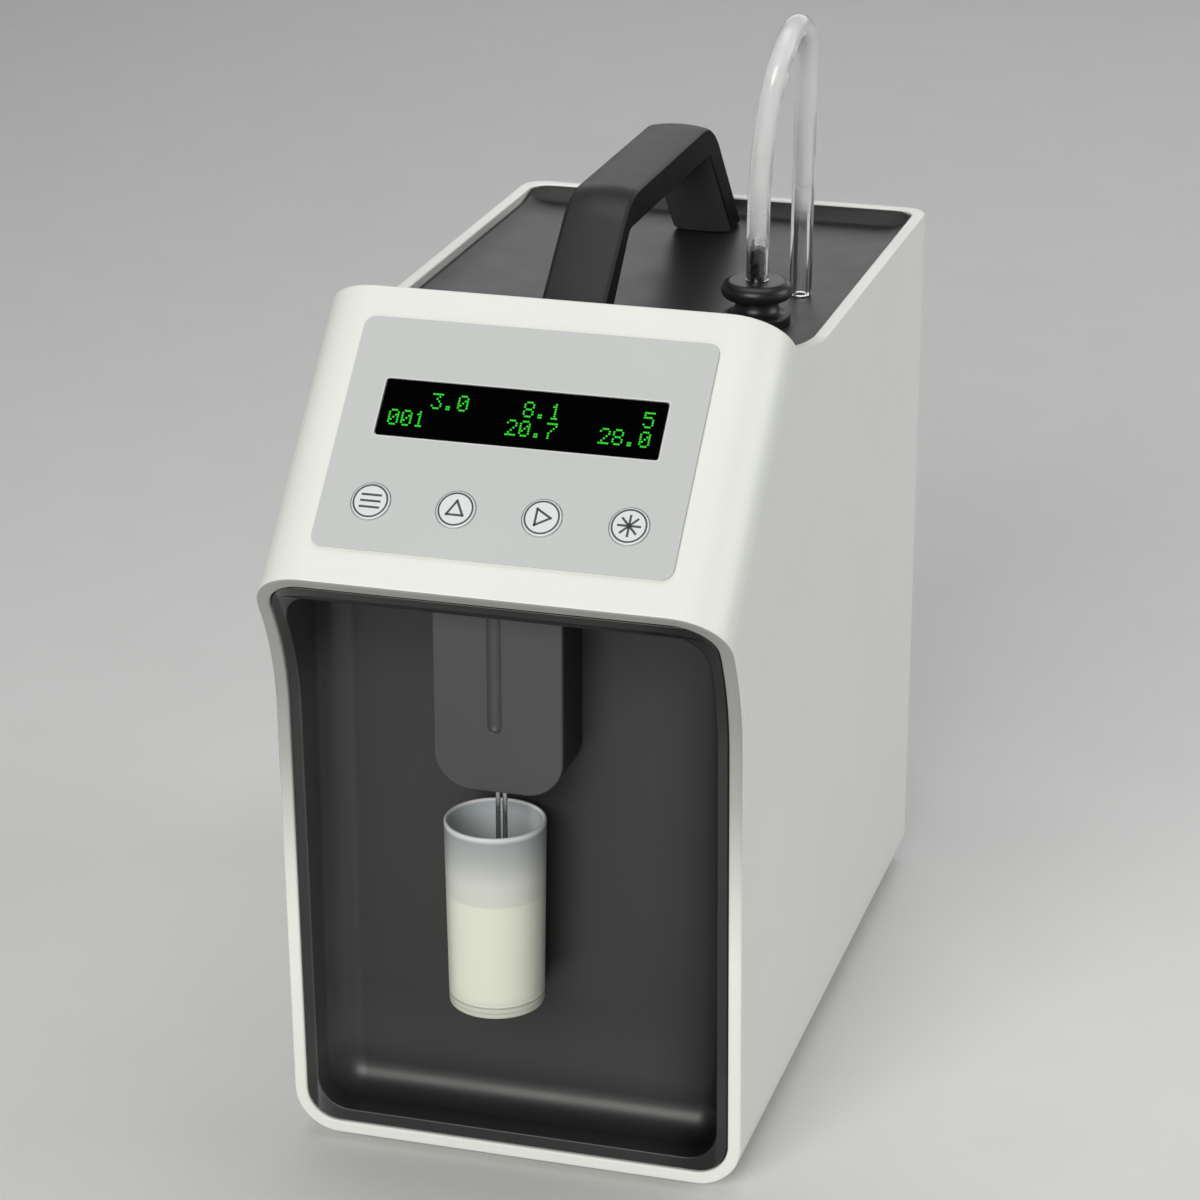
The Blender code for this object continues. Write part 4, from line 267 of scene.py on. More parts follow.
DIGITS = surface(
    "display_dots", (0.02, 0.5, 0.02), 0.35, tint=0.1,
    Emission_Color=(0.012, 0.62, 0.012, 1.0), Emission_Strength=0.46,
)
STEEL = surface(
    "drawn_steel", (0.46, 0.46, 0.47), 0.28, 0.15, 0.0003, 0.05, 0.06, Metallic=1.0, stretch=(1, 1, 0.05),
)
ZINC = surface("zinc_plate", (0.5, 0.5, 0.47), 0.38, 0.2, 0.0006, 0.08, 0.1, Metallic=1.0)
CUP = surface("frosted_polypropylene", FROSTED, 0.34, 0.1, 0.0006, 0.01, 0.05)
CUP_INSIDE = surface("frosted_inside", FROSTED, 0.42, 0.1, 0.0006, 0.01, 0.05)
MILK = surface(
    "fresh_milk", MILKY, 0.22, tint=0.008,
    Subsurface_Weight=0.5, Subsurface_Radius=(0.004, 0.003, 0.002), Subsurface_Scale=1.0,
)
HOSE = surface(
    "clear_pvc", (0.98, 0.985, 0.985), 0.03, 0.04, 0.003, 0.01, 0.02, Transmission_Weight=1.0, IOR=1.42,
)
BORE = surface("hose_bore", (0.95, 0.96, 0.96), 0.1, 0.06, 0.003, 0.01, 0.03, IOR=1.42)
TUBING = surface(
    "inner_tubing", (0.9, 0.92, 0.9), 0.12, 0.06, 0.003, 0.01, 0.03, Transmission_Weight=0.6, IOR=1.42,
)
RUBBER = surface("black_rubber", (0.018, 0.018, 0.018), 0.72, 0.4, 0.0006, 0.1, 0.08)
PAINT = surface("grey_powder_coat", (0.38, 0.39, 0.38), 0.5, 0.5, 0.0007, 0.03, 0.06)
BOARD = surface("green_board", (0.015, 0.13, 0.05), 0.4, 0.15, 0.001, 0.15, 0.08)
ALUMINIUM = surface(
    "milled_aluminium", (0.62, 0.63, 0.64), 0.33, 0.2, 0.0005, 0.04, 0.06, Metallic=1.0, stretch=(1, 0.04, 1),
)


def blend_along(mat, axis, low, high, **stops):
    """Drives sockets of a material by stops (share of the way, value) along an axis."""
    nodes = mat.node_tree.nodes
    links = mat.node_tree.links
    place = nodes.new("ShaderNodeTexCoord")
    split = nodes.new("ShaderNodeSeparateXYZ")
    links.new(place.outputs["Object"], split.inputs["Vector"])
    way = nodes.new("ShaderNodeMapRange")
    put(way, From_Min=low, From_Max=high)
    links.new(split.outputs[axis], way.inputs["Value"])
    for socket, steps in stops.items():
        ramp = add_ramp(nodes, steps)
        links.new(way.outputs["Result"], ramp.inputs["Fac"])
        links.new(ramp.outputs["Color"], nodes["Principled BSDF"].inputs[socket.replace("_", " ")])


def fade(mat, axis, low, high, steps):
    """Paints shade or light into a colour, by steps (share of the way, factor) along an axis."""
    nodes = mat.node_tree.nodes
    links = mat.node_tree.links
    shader = nodes["Principled BSDF"]
    before = shader.inputs["Base Color"].links[0].from_socket
    blend_along(mat, axis, low, high, Base_Color=steps)
    product = nodes.new("ShaderNodeMix")
    product.data_type = "RGBA"
    product.blend_type = "MULTIPLY"
    put(product, Factor=1.0)
    links.new(before, product.inputs[6])
    links.new(shader.inputs["Base Color"].links[0].from_socket, product.inputs[7])
    links.new(product.outputs[2], shader.inputs["Base Color"])


# Frosted plastic takes the milk's colour up to its level and thins out above. Painted shade darkens it at its
# foot and towards its rim, painted light brightens it just above the milk, and a painted highlight makes the
# rim pale, inside and out
milk_line = FOOT_HEIGHT + MILK_LEVEL
cup_span = (milk_line - 0.038, milk_line + 0.0222)
blend_along(CUP, "Z", *cup_span, Base_Color=(
    (0, (0.56, 0.57, 0.48)), (0.05, (0.62, 0.63, 0.54)), (0.06, (0.46, 0.47, 0.39)),
    (0.066, (0.64, 0.65, 0.55)), (0.08, (0.6, 0.61, 0.52)), (0.085, (0.34, 0.35, 0.28)),
    (0.09, (0.93, 0.94, 0.82)), (0.1, MILKY), (0.626, MILKY), (0.634, (0.7, 0.705, 0.635)),
    (0.74, (0.72, 0.73, 0.675)), (0.86, (0.5, 0.525, 0.505)), (0.968, (0.37, 0.395, 0.39)),
    (0.986, (0.66, 0.69, 0.7)),
), Alpha=(
    (0, 0.85), (0.088, 0.85), (0.1, 0.74), (0.628, 0.74), (0.636, 0.8), (0.86, 0.68), (0.968, 0.64),
    (0.986, 0.92),
))
blend_along(CUP_INSIDE, "Z", *cup_span, Base_Color=(
    (0, MILKY), (0.62, MILKY), (0.66, (0.74, 0.76, 0.74)), (0.982, (0.51, 0.555, 0.58)),
    (0.992, (0.9, 0.92, 0.92)),
), Alpha=((0, 0.75), (0.64, 0.75), (1, 0.85)))
# The hose is milky inside along its arch and clear where it grips the fitting
hose_span = (0.2473, 0.325)
blend_along(BORE, "Z", *hose_span, Transmission_Weight=((0, 1), (0.125, 1.0), (0.25, 0.32), (1, 0.06)))
blend_along(HOSE, "Z", *hose_span, Transmission_Weight=(
    (0, 1), (0.125, 1.0), (0.22, 0.8), (0.4, 0.62), (1, 0.54),
))
# Painted shade and painted light, set into the colours of the cover, the bay's lining and its leaning rim
cover_front = RIM_Y + SAMPLER_FRONT
# Painted shade on the cover's sides, behind the front of its face
fade(COVER, "Y", cover_front, cover_front + 0.018, ((0, 1), (0.085, 1.0), (0.14, 0.33), (1, 0.22)))
# Painted light on the bay's left wall, painted shade in its right edge, and its front lip darker
fade(LINING, "X", -HALF, HALF, (
    (0, 0.72), (0.052, 0.72), (0.0535, 5.00), (0.06, 3.1), (0.075, 1.9), (0.095, 1.15), (0.13, 0.94),
    (0.77, 1.0), (0.83, 0.75), (0.865, 0.34), (0.89, 0.1), (0.942, 0.08), (0.948, 0.72),
))
# Painted light low on the bay's back wall and a little painted shade on its floor
fade(LINING, "Z", 0.012, 0.045, ((0, 0.85), (0.2, 1.05), (0.45, 1.5), (0.7, 1.3), (1.0, 1.0)))
# Painted shade below the bay's ceiling
fade(LINING, "Z", 0.14, 0.185, (
    (0, 1), (0.13, 0.96), (0.27, 0.8), (0.4, 0.58), (0.51, 0.44), (0.955, 0.4), (0.97, 0.85),
))
# Painted shade on the upper part of the leaning rim, below the nose
fade(RIM_SHADED, "Z", 0.076, 0.152, (
    (0, 1), (0.25, 0.86), (0.5, 0.65), (0.7, 0.48), (0.9, 0.4), (1, 0.37),
))
# Painted light: the top edges of the walls are paler behind the shoulders
lit_edge_start = RIM_Y + 0.056
fade(CREAM_EDGE_LIT, "Y", lit_edge_start, lit_edge_start + 0.038, ((0, 1), (1.0, 1.17)))


# Outlines
def arc(centre, radius, start, end, steps=14):
    turns = [radians(start + (end - start) * k / steps) for k in range(steps + 1)]
    return [(centre[0] + radius * cos(t), centre[1] + radius * sin(t)) for t in turns]


def bend(start, control, end, steps=14):
    return [tuple(
        (1 - t) ** 2 * a + 2 * t * (1 - t) * b + t ** 2 * c for a, b, c in zip(start, control, end)
    ) for t in [k / steps for k in range(steps + 1)]]


def rounded(corners, steps=14):
    """A closed outline from corners (x, y, radius)."""
    points = []
    for index, (x, y, radius) in enumerate(corners):
        here = Vector((x, y))
        if radius <= 0.0:
            points.append((x, y))
            continue
        before = (Vector(corners[index - 1][:2]) - here).normalized()
        after = (Vector(corners[(index + 1) % len(corners)][:2]) - here).normalized()
        half = before.angle(after) / 2
        middle = (before + after).normalized() * (radius / sin(half)) + here
        first = here + before * (radius / tan(half)) - middle
        last = here + after * (radius / tan(half)) - middle
        turn = first.angle_signed(last)
        for k in range(steps + 1):
            c = cos(turn * k / steps)
            s = sin(turn * k / steps)
            points.append((middle.x + first.x * c + first.y * s, middle.y + first.y * c - first.x * s))
    return points


def rectangle(x0, y0, x1, y1, radius=0.0, steps=8, upper=None):
    """A rectangle with rounded corners, whose upper ones can differ."""
    top = radius if upper is None else upper
    return rounded([(x0, y0, radius), (x1, y0, radius), (x1, y1, top), (x0, y1, top)], steps)


# Meshes
FACING = {
    "plan": lambda a, b, d: (a, b, d),
    "front": lambda a, b, d: (a, d, b),
    "side": lambda a, b, d: (d, a, b),
}


def keep(name, form, base, merge=True):
    """Makes an object of a form drawn in base."""
    if merge:
        bmesh.ops.remove_doubles(form, verts=form.verts, dist=0.000001)
    bmesh.ops.recalc_face_normals(form, faces=form.faces)
    form.transform(base)
    mesh = bpy.data.meshes.new(name)
    form.to_mesh(mesh)
    form.free()
    return new_object(name, mesh)


def band(form, low, high, finish=0):
    """Faces between two rings of corners."""
    for k in range(len(low)):
        j = (k + 1) % len(low)
        form.faces.new((low[k], low[j], high[j], high[k])).material_index = finish


def skin(form, rings):
    """Closes rings of corners to a solid."""
    form.faces.new(rings[0])
    form.faces.new(rings[-1])
    for low, high in zip(rings, rings[1:]):
        band(form, low, high)


def prism(name, outline, near, far, facing="plan", base=BODY):
    form = bmesh.new()
    skin(form, [[form.verts.new(FACING[facing](a, b, d)) for a, b in outline] for d in (near, far)])
    return keep(name, form, base)


def plates(name, outlines, low, high, base):
    """Thin plates of any outlines in one object."""
    form = bmesh.new()
    for outline in outlines:
        skin(form, [[form.verts.new((a, b, d)) for a, b in outline] for d in (low, high)])
    return keep(name, form, base, merge=False)


def block(name, low, high, base=BODY):
    return prism(name, rectangle(*low[:2], *high[:2]), low[2], high[2], "plan", base)


def round_steps(steps):
    return [(cos(2 * pi * k / steps), sin(2 * pi * k / steps)) for k in range(steps)]


def turned(name, profile, centre, base=BODY, steps=96, closed=False, spin=Matrix.Identity(4)):
    """A profile of (radius, height) turned about an upright axis through centre."""
    form = bmesh.new()
    rings = []
    for radius, height in profile:
        if radius < 1e-7:
            rings.append([form.verts.new((0, 0, height))] * steps)
        else:
            rings.append([form.verts.new((radius * c, radius * s, height)) for c, s in round_steps(steps)])
    if closed:
        rings.append(rings[0])
    for lower, upper in zip(rings, rings[1:]):
        for k in range(steps):
            j = (k + 1) % steps
            corners = []
            for vert in (lower[k], lower[j], upper[j], upper[k]):
                if vert not in corners:
                    corners.append(vert)
            if len(corners) > 2:
                form.faces.new(corners)
    return keep(name, form, base @ Matrix.Translation(centre) @ spin)


def rod(name, radius, start, end, base=BODY, steps=48):
    start = Vector(start)
    end = Vector(end)
    run = (end - start).length
    spin = (end - start).to_track_quat("Z", "Y").to_matrix().to_4x4()
    return turned(name, [(0, 0), (radius, 0), (radius, run), (0, run)], start, base, steps, spin=spin)


def level_rod(name, radius, x, z, near, far, steps=48):
    """A rod that runs from front to back."""
    return rod(name, radius, (x, near, z), (x, far, z), BODY, steps)


def upright_rod(name, radius, x, y, low, high, base=BODY, steps=48):
    return rod(name, radius, (x, y, low), (x, y, high), base, steps)


def tube(name, path, outer, bore, base=BODY, sides=32):
    """A hose along its path: outer skin, end rings and a bore of the radius at each point."""
    form = bmesh.new()
    points = [Vector(p) for p in path]
    across = (points[1] - points[0]).orthogonal().normalized()
    skins = ([], [])
    for k, point in enumerate(points):
        along = (points[min(k + 1, len(points) - 1)] - points[max(k - 1, 0)]).normalized()
        across = (across - along * across.dot(along)).normalized()
        other = along.cross(across)
        for rings, radius in zip(skins, (outer, bore[k])):
            rings.append([
                form.verts.new(point + (across * c + other * s) * radius) for c, s in round_steps(sides)
            ])
    for number, rings in enumerate(skins):
        for low, high in zip(rings, rings[1:]):
            band(form, low, high, number)
    for end in (0, -1):
        band(form, skins[0][end], skins[1][end])
    return keep(name, form, base)


def smooth_route(route, steps):
    knots = [Vector(p) for p in route]
    ends = [2 * knots[0] - knots[1]] + knots + [2 * knots[-1] - knots[-2]]
    path = []
    for k in range(1, len(ends) - 2):
        a, b, c, d = ends[k - 1:k + 3]
        for step in range(steps):
            t = step / steps
            path.append(0.5 * (2 * b + (c - a) * t + (2 * a - 5 * b + 4 * c - d) * t ** 2
                               + (3 * b - a - 3 * c + d) * t ** 3))
    return path + [knots[-1]]


def combine(target, other, operation):
    modifier = target.modifiers.new(other.name, "BOOLEAN")
    modifier.operation = operation
    modifier.solver = "EXACT"
    modifier.object = other
    other.hide_render = True
    other["cutter"] = True


def cut(target, *others):
    for other in others:
        combine(target, other, "DIFFERENCE")


def soften(obj, width, segments=3, angle=34.0):
    """Rounds the crisp edges and applies that."""
    modifier = obj.modifiers.new("edges", "BEVEL")
    modifier.width = width
    modifier.segments = segments
    modifier.limit_method = "ANGLE"
    modifier.angle_limit = radians(angle)
    modifier.use_clamp_overlap = False
    modifier.miter_outer = "MITER_ARC"
    settle(obj)


def settle(obj, merge=0.0):
    """Applies the modifiers so far."""
    mesh = bpy.data.meshes.new_from_object(obj.evaluated_get(bpy.context.evaluated_depsgraph_get()))
    obj.modifiers.clear()
    obj.data = mesh
    if merge:
        form = bmesh.new()
        form.from_mesh(mesh)
        bmesh.ops.remove_doubles(form, verts=form.verts, dist=merge)
        bmesh.ops.dissolve_degenerate(form, dist=merge, edges=form.edges)
        form.to_mesh(mesh)
        form.free()
    for other in [o for o in scene.objects if o.get("cutter")]:
        bpy.data.objects.remove(other)


def piece(obj, material, body="base", node=None, angle=32.0, flat=False):
    """Finishes a piece: mesh, material, shading, the body it rides on and the node it stands for."""
    settle(obj)
    mesh = obj.data
    finishes = material if isinstance(material, tuple) else (material,)
    kept = [face.material_index for face in mesh.polygons]
    mesh.materials.clear()
    for finish in finishes:
        mesh.materials.append(finish)
    mesh.polygons.foreach_set("material_index", kept)
    if not flat:
        mesh.shade_smooth()
        mesh.set_sharp_from_angle(angle=radians(angle))
        obj.modifiers.new("normals", "WEIGHTED_NORMAL").keep_sharp = True
    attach(obj, body)
    if node:
        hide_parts(node)


def refinish(obj, material, chosen):
    """Gives the faces that chosen picks a second material."""
    mesh = obj.data
    mesh.materials.append(material)
    for face in mesh.polygons:
        if chosen(face):
            face.material_index = len(mesh.materials) - 1


# Outlet hose, over its arch and down to the top panel
HOSE_START = Vector((*FITTING, 0.2453))
HOSE_OFFSETS = (
    (0, 0, 0.0003), (0, 0, 0.0147), (0.0004, 0, 0.0307), (0.0018, 0, 0.0455),
    (0.0036, 0.0003, 0.0582), (0.0052, 0.0026, 0.0666), (0.0063, 0.0084, 0.0725), (0.0069, 0.0165, 0.0747),
    (0.007, 0.0246, 0.0725), (0.0068, 0.0304, 0.0666), (0.0066, 0.0327, 0.0582), (0.0064, 0.0329, 0.045),
    (0.0063, 0.0329, 0.0317), (0.0061, 0.0329, 0.0167), (0.006, 0.0329, 0.0017), (0.0059, 0.0329, -0.0129),
)
hose_path = [BODY @ p for p in smooth_route([HOSE_START + Vector(p) for p in HOSE_OFFSETS], 6)]
# The bore is wide round the nipple and narrows above it
hose_bore = [0.0027 - 0.0009 * min(1.0, max(0, (k - 4.5) / 1.5)) for k in range(len(hose_path))]
hose = tube("clear_hose", hose_path, 0.0035, hose_bore, Matrix.Identity(4))
piece(hose, (HOSE, BORE), node="outlet_tube")


# Housing
def sleeve(name, inset, front, back, top, low=None):
    """The housing's section from front to back, square below where low is given."""
    side = HALF - inset
    radius = BOTTOM_RADIUS - inset if low is None else 0.0
    bottom = inset if low is None else low
    return prism(name, rectangle(-side, bottom, side, top, radius, 14, 0), front, back, "front")


def above_panel(name, inset, length):
    """What lies above the sloping panel and outside its rounded sides."""
    side = HALF - inset
    radius = PANEL_RADIUS - inset
    past = side + OVERRUN
    high = 2.0 * CLEAR_OF_STOCK
    outline = [(-past, -PANEL_RADIUS)]
    outline += arc((radius - side, -PANEL_RADIUS), radius, 180, 90)
    outline += arc((side - radius, -PANEL_RADIUS), radius, 90, 0)
    outline += [(past, -PANEL_RADIUS), (past, high), (-past, high)]
    return prism(name, outline, -PANEL_LENGTH - OVERRUN, length, "front", PANEL)


def before_rim(name, setback):
    """What lies before the rim, which leans, then curls forwards to the nose."""
    lean = RIM_LEAN / RIM_STRAIGHT_HEIGHT
    control = (-lean * RIM_BEND_HEIGHT, RIM_BEND_HEIGHT)
    nose = Vector((-NOSE_OVERHANG, NOSE_HEIGHT))
    past = nose + (nose - Vector(control)).normalized() * OVERRUN
    points = [(lean * OVERRUN, -OVERRUN)] + bend((-RIM_LEAN, RIM_STRAIGHT_HEIGHT), control, nose, 18)
    points = [(y + setback, z) for y, z in points + [tuple(past)]]
    before = STOCK_FRONT - CLEAR_OF_STOCK / 2
    points += [(before, points[-1][1]), (before, points[0][1])]
    return prism(name, points, -HALF - OVERRUN, HALF + OVERRUN, "side")


def above_shoulders():
    drop = (PANEL_RADIUS + FIT) * sin(PANEL_TILT)
    start = (LIP_Y + drop, LIP_Z - drop)
    end = (start[0] + SHOULDER_LENGTH, WALL_HEIGHT)
    rise = STOCK_TOP + OVERRUN - LIP_Z
    points = [(LIP_Y - rise, LIP_Z + rise), (LIP_Y, LIP_Z)]
    points += bend(start, (start[0] + SHOULDER_BEND, WALL_HEIGHT + SHOULDER_BEND_RISE), end)
    points += [(BODY_DEPTH + OVERRUN, WALL_HEIGHT), (BODY_DEPTH + OVERRUN, LIP_Z + rise)]
    return prism("above_shoulders", points, -HALF - OVERRUN, HALF + OVERRUN, "side")


def rear_corners(name, inset, radius):
    """What lies outside the two rounded rear corners."""
    inner = HALF - inset - radius
    behind = BODY_DEPTH - inset - radius
    past = 2 * OVERRUN
    points = arc((inner, behind), radius, 0, 90)
    points += [(inner, BODY_DEPTH + past), (HALF + past, BODY_DEPTH + past), (HALF + past, behind)]
    return [prism(f"{name}_{k}", [(side * x, y) for x, y in points], -past, STOCK_TOP + past)
            for k, side in enumerate((-1, 1))]


def rear_plate(name, inset, near, far):
    """A plate of the rear rebate's outline, less inset."""
    side = REBATE_HALF_WIDTH - inset
    outline = rectangle(-side, REBATE_BOTTOM + inset, side, REBATE_TOP - inset, REAR_CORNER)
    return prism(name, outline, near, far, "front")


KEY_PITCH = 0.0252
KEY_LINE = 0.0261
KEY_RADIUS = 0.00565
KEYS = [
    (name, step * KEY_PITCH)
    for name, step in (("menu_key", -1.5), ("up_key", -0.5), ("right_key", 0.5), ("start_key", 1.5))
]
FEET = {
    "foot_front_left": (-0.052, 0.018), "foot_front_right": (0.052, 0.018),
    "foot_rear_left": (-0.052, 0.227), "foot_rear_right": (0.052, 0.227),
}
REAR_SCREWS = [(side * 0.0535, z) for side in (-1, 1) for z in (0.0185, 0.2175)]


def housing():
    behind = BODY_DEPTH + OVERRUN
    shell = sleeve("housing", 0, STOCK_FRONT, BODY_DEPTH, STOCK_TOP)
    inside = sleeve("inside", WALL, STOCK_FRONT - OVERRUN, BODY_DEPTH - WALL, STOCK_TOP + OVERRUN)
    cut(inside, above_panel("under_panel", WALL, PANEL_LENGTH + OVERRUN / 4.0))
    cut(inside, *rear_corners("inside_corner", WALL, INNER_RADIUS))
    window = rear_plate("rear_window", REAR_FLANGE, BODY_DEPTH - WALL - OVERRUN, behind)
    rebate = rear_plate("rear_rebate", 0, BODY_DEPTH - REAR_REBATE, behind)
    cut(shell, above_panel("panel_outside", 0, PANEL_LENGTH + OVERRUN))
    cut(shell, above_shoulders(), before_rim("rim_front", 0))
    cut(shell, *rear_corners("rear_corner", 0, REAR_RADIUS))
    cut(shell, inside, window, rebate)
    settle(shell, 0.00004)
    soften(shell, 0.0007)
    below = -2 * OVERRUN
    cut(shell, block("display_opening", (-0.0398, 0.04905, below), (0.0398, 0.06325, OVERRUN), PANEL))
    for name, x in KEYS:
        cut(shell, upright_rod(name + "_hole", STUD_HOLE, x, KEY_LINE, below, OVERRUN, PANEL, 24))
    for name, (x, y) in FEET.items():
        cut(shell, upright_rod(name + "_hole", STUD_HOLE, x, y, -OVERRUN, WALL + FIT, BODY, 24))
    for k, (x, z) in enumerate(REAR_SCREWS):
        cut(shell, level_rod(f"screw_hole_{k}", SCREW_HOLE, x, z, BODY_DEPTH - WALL - FIT, behind, 24))
    piece(shell, CREAM, node="housing_shell")
    below_nose = FOOT_HEIGHT + NOSE_HEIGHT + 0.001
    middle = Vector((0, RIM_Y, NOSE_HEIGHT / 2))
    # The rim's front faces take the cream copy with painted shade
    refinish(shell, RIM_SHADED, lambda face: face.center.z < below_nose and face.center.y < RIM_Y + 0.001 and (
        (face.normal.y < -0.6 and face.normal.z < 0.1)
        or (face.normal.y < -0.02 and face.normal.dot((face.center - middle) * Vector((1, 0, 1.0))) < 0.0)
    ))
    # The walls' upward faces behind the shoulders take the cream copy with painted light
    wall_top = FOOT_HEIGHT + WALL_HEIGHT - 0.0008
    refinish(shell, CREAM_EDGE_LIT, lambda face: (
        face.center.y > lit_edge_start and face.center.z > wall_top and face.normal.z > 0.6
    ))


housing()


# Sampling bay
def bay_room(name, inset):
    """The bay's hollow, whose back edges are curved."""
    side = BAY_HALF_WIDTH - inset
    low = BAY_FLOOR + inset
    high = BAY_CEILING - inset
    outline = rectangle(-side, low, side, high, BAY_LOWER_RADIUS, 14, BAY_UPPER_RADIUS)
    room = prism(name, outline, STOCK_FRONT - OVERRUN, BAY_DEPTH - inset, "front", Matrix.Identity(4))
    form = bmesh.new()
    form.from_mesh(room.data)
    deepest = max(v.co.y for v in form.verts)
    edges = [e for e in form.edges if all(v.co.y > deepest - FIT for v in e.verts)]
    bmesh.ops.bevel(
        form, geom=edges, offset=BAY_BACK_RADIUS, offset_type="OFFSET", segments=12, profile=0.5,
        affect="EDGES",
    )
    form.transform(BODY)
    form.to_mesh(room.data)
    form.free()
    return room


def lining():
    recess = sleeve("bay_lining", WALL_INSIDE, STOCK_FRONT, BAY_DEPTH + BAY_WALL, BAY_CEILING + BAY_ROOF)
    cut(recess, above_panel("recess_under_panel", WALL_INSIDE, PANEL_LENGTH * 0.9))
    cut(recess, before_rim("recess_front", BAY_SETBACK), bay_room("bay_hollow", 0))
    settle(recess, 0.00004)
    soften(recess, 0.0006)
    near = BAY_DEPTH - BAY_WALL
    far = BAY_DEPTH + BAY_WALL + OVERRUN
    cut(recess, block("runner_slot", (CUP_X - SLOT_HALF_WIDTH, near, SLOT_BOTTOM),
                      (CUP_X + SLOT_HALF_WIDTH, far, SLOT_TOP)))
    cut(recess, level_rod("hose_guide", HOSE_GUIDE_RADIUS, SAMPLER_X, HOSE_GUIDE_HEIGHT, near, far))
    piece(recess, LINING, node="front_recess")


lining()


def tongue(name, inset, top, front, back):
    """An upright slab with rounded lower corners."""
    side = SAMPLER_HALF_WIDTH - inset
    outline = rectangle(
        SAMPLER_X - side, SAMPLER_BOTTOM + inset, SAMPLER_X + side, top, SAMPLER_RADIUS - inset, 14, 0.0,
    )
    return prism(name, outline, front, back, "front")


def cover():
    hood = tongue("pipe_cover", 0, BAY_CEILING + OVERRUN, SAMPLER_FRONT, BAY_DEPTH + OVERRUN)
    cut(hood, tongue("cover_hollow", SAMPLER_WALL, BAY_CEILING - BAY_BACK_RADIUS,
                     SAMPLER_FRONT + SAMPLER_WALL, BAY_DEPTH + 2 * OVERRUN))
    combine(hood, bay_room("bay_seat", FIT), "INTERSECT")
    settle(hood, 0.00003)
    soften(hood, 0.0005)
    profile = [(0, 0.05), (GROOVE_RADIUS, 0.05)] + arc((0, 0), GROOVE_RADIUS, 0, -90.0, 10)
    groove_y = SAMPLER_FRONT - GROOVE_RADIUS + GROOVE_DEPTH
    cut(hood, turned("groove", profile, (SAMPLER_X + GROOVE_SHIFT, groove_y, GROOVE_END), steps=48))
    half = PIPE_SPACING / 2
    cut(hood, block("pipe_slot", (SAMPLER_X - PIPE_SPACING, -half, SAMPLER_BOTTOM - SAMPLER_WALL),
                    (SAMPLER_X + PIPE_SPACING, half, SAMPLER_BOTTOM + 2.0 * SAMPLER_WALL)))
    soften(hood, 0.00025, 2, 30)
    piece(hood, COVER, node="sampler_cover")
    bore = 0.00045
    worn = PIPE_RADIUS - 0.0001
    for name, side, tip in (("intake_pipe", -1, 0.085), ("rinse_pipe", 1, 0.092)):
        pipe = turned(name + "_drawn", [
            (bore, PIPE_TOP), (worn, PIPE_TOP), (PIPE_RADIUS, PIPE_TOP - 0.0002), (PIPE_RADIUS, tip + 0.0002),
            (worn, tip), (bore, tip),
        ], (SAMPLER_X + side * half, 0, 0), steps=32, closed=True)
        piece(pipe, STEEL, node=name)


cover()


# Cup and milk
def cup_radius(height):
    return CUP_BASE_RADIUS + (CUP_RIM_RADIUS - CUP_BASE_RADIUS) * height / CUP_HEIGHT


def cup_and_milk():
    inner = cup_radius(CUP_FLOOR) - CUP_WALL
    corner = 0.0012
    lip = CUP_WALL / 2
    profile = [(0, CUP_FLOOR), (inner - corner, CUP_FLOOR)]
    profile += bend((inner - corner, CUP_FLOOR), (inner, CUP_FLOOR), (inner, CUP_FLOOR + corner), 5)[1:]
    profile += arc((CUP_RIM_RADIUS - lip, CUP_HEIGHT - lip), lip, 180, 0, 10)
    # A fine groove runs round the foot
    groove = cup_radius(0.0036) - 0.00035
    profile += bend((cup_radius(0.0042), 0.0042), (cup_radius(0.0036), 0.0036), (groove, 0.0036), 4)
    profile += bend((groove, 0.0034), (cup_radius(0.0034), 0.0034), (cup_radius(0.003), 0.003), 4)
    profile += bend((CUP_BASE_RADIUS, corner), (CUP_BASE_RADIUS, 0), (CUP_BASE_RADIUS - 0.0008, 0), 6)
    profile += [(CUP_BASE_RADIUS - CUP_WALL, 0), (cup_radius(CUP_FOOT) - CUP_WALL, CUP_FOOT)]
    profile += [(0, CUP_FOOT)]
    cup = turned("sample_beaker", profile, (CUP_X, 0, CUP_BASE), steps=128)
    piece(cup, CUP, "cup_carriage", "sample_cup")
    axis = BODY @ Vector((CUP_X, 0, 0))
    refinish(cup, CUP_INSIDE, lambda face: (
        face.normal.dot((face.center - axis).to_2d().to_3d().normalized()) < -0.6
    ))
    # The milk climbs a little at its edge
    play = CUP_WALL + FIT
    level = MILK_LEVEL - CUP_BASE
    flat = level - 0.0004
    edge = cup_radius(level) - play
    low = CUP_FLOOR + FIT
    foot = cup_radius(low) - play
    profile = [(0, flat)]
    profile += bend((edge - 0.0022, flat), (edge - 0.0004, flat), (edge, level), 8)
    profile += [(edge, flat), (cup_radius(low + 0.0014) - play, low + 0.0014)]
    profile += bend((foot, low + 0.0013), (foot, low), (foot - 0.0013, low), 5)
    profile += [(0, low)]
    milk = turned("milk_in_cup", profile, (CUP_X, 0, CUP_BASE), steps=128)
    cut(milk, upright_rod("pipe_well", 0.0024, SAMPLER_X, 0, 0.0847, 0.1))
    piece(milk, MILK, "cup_carriage", "milk_sample")


cup_and_milk()


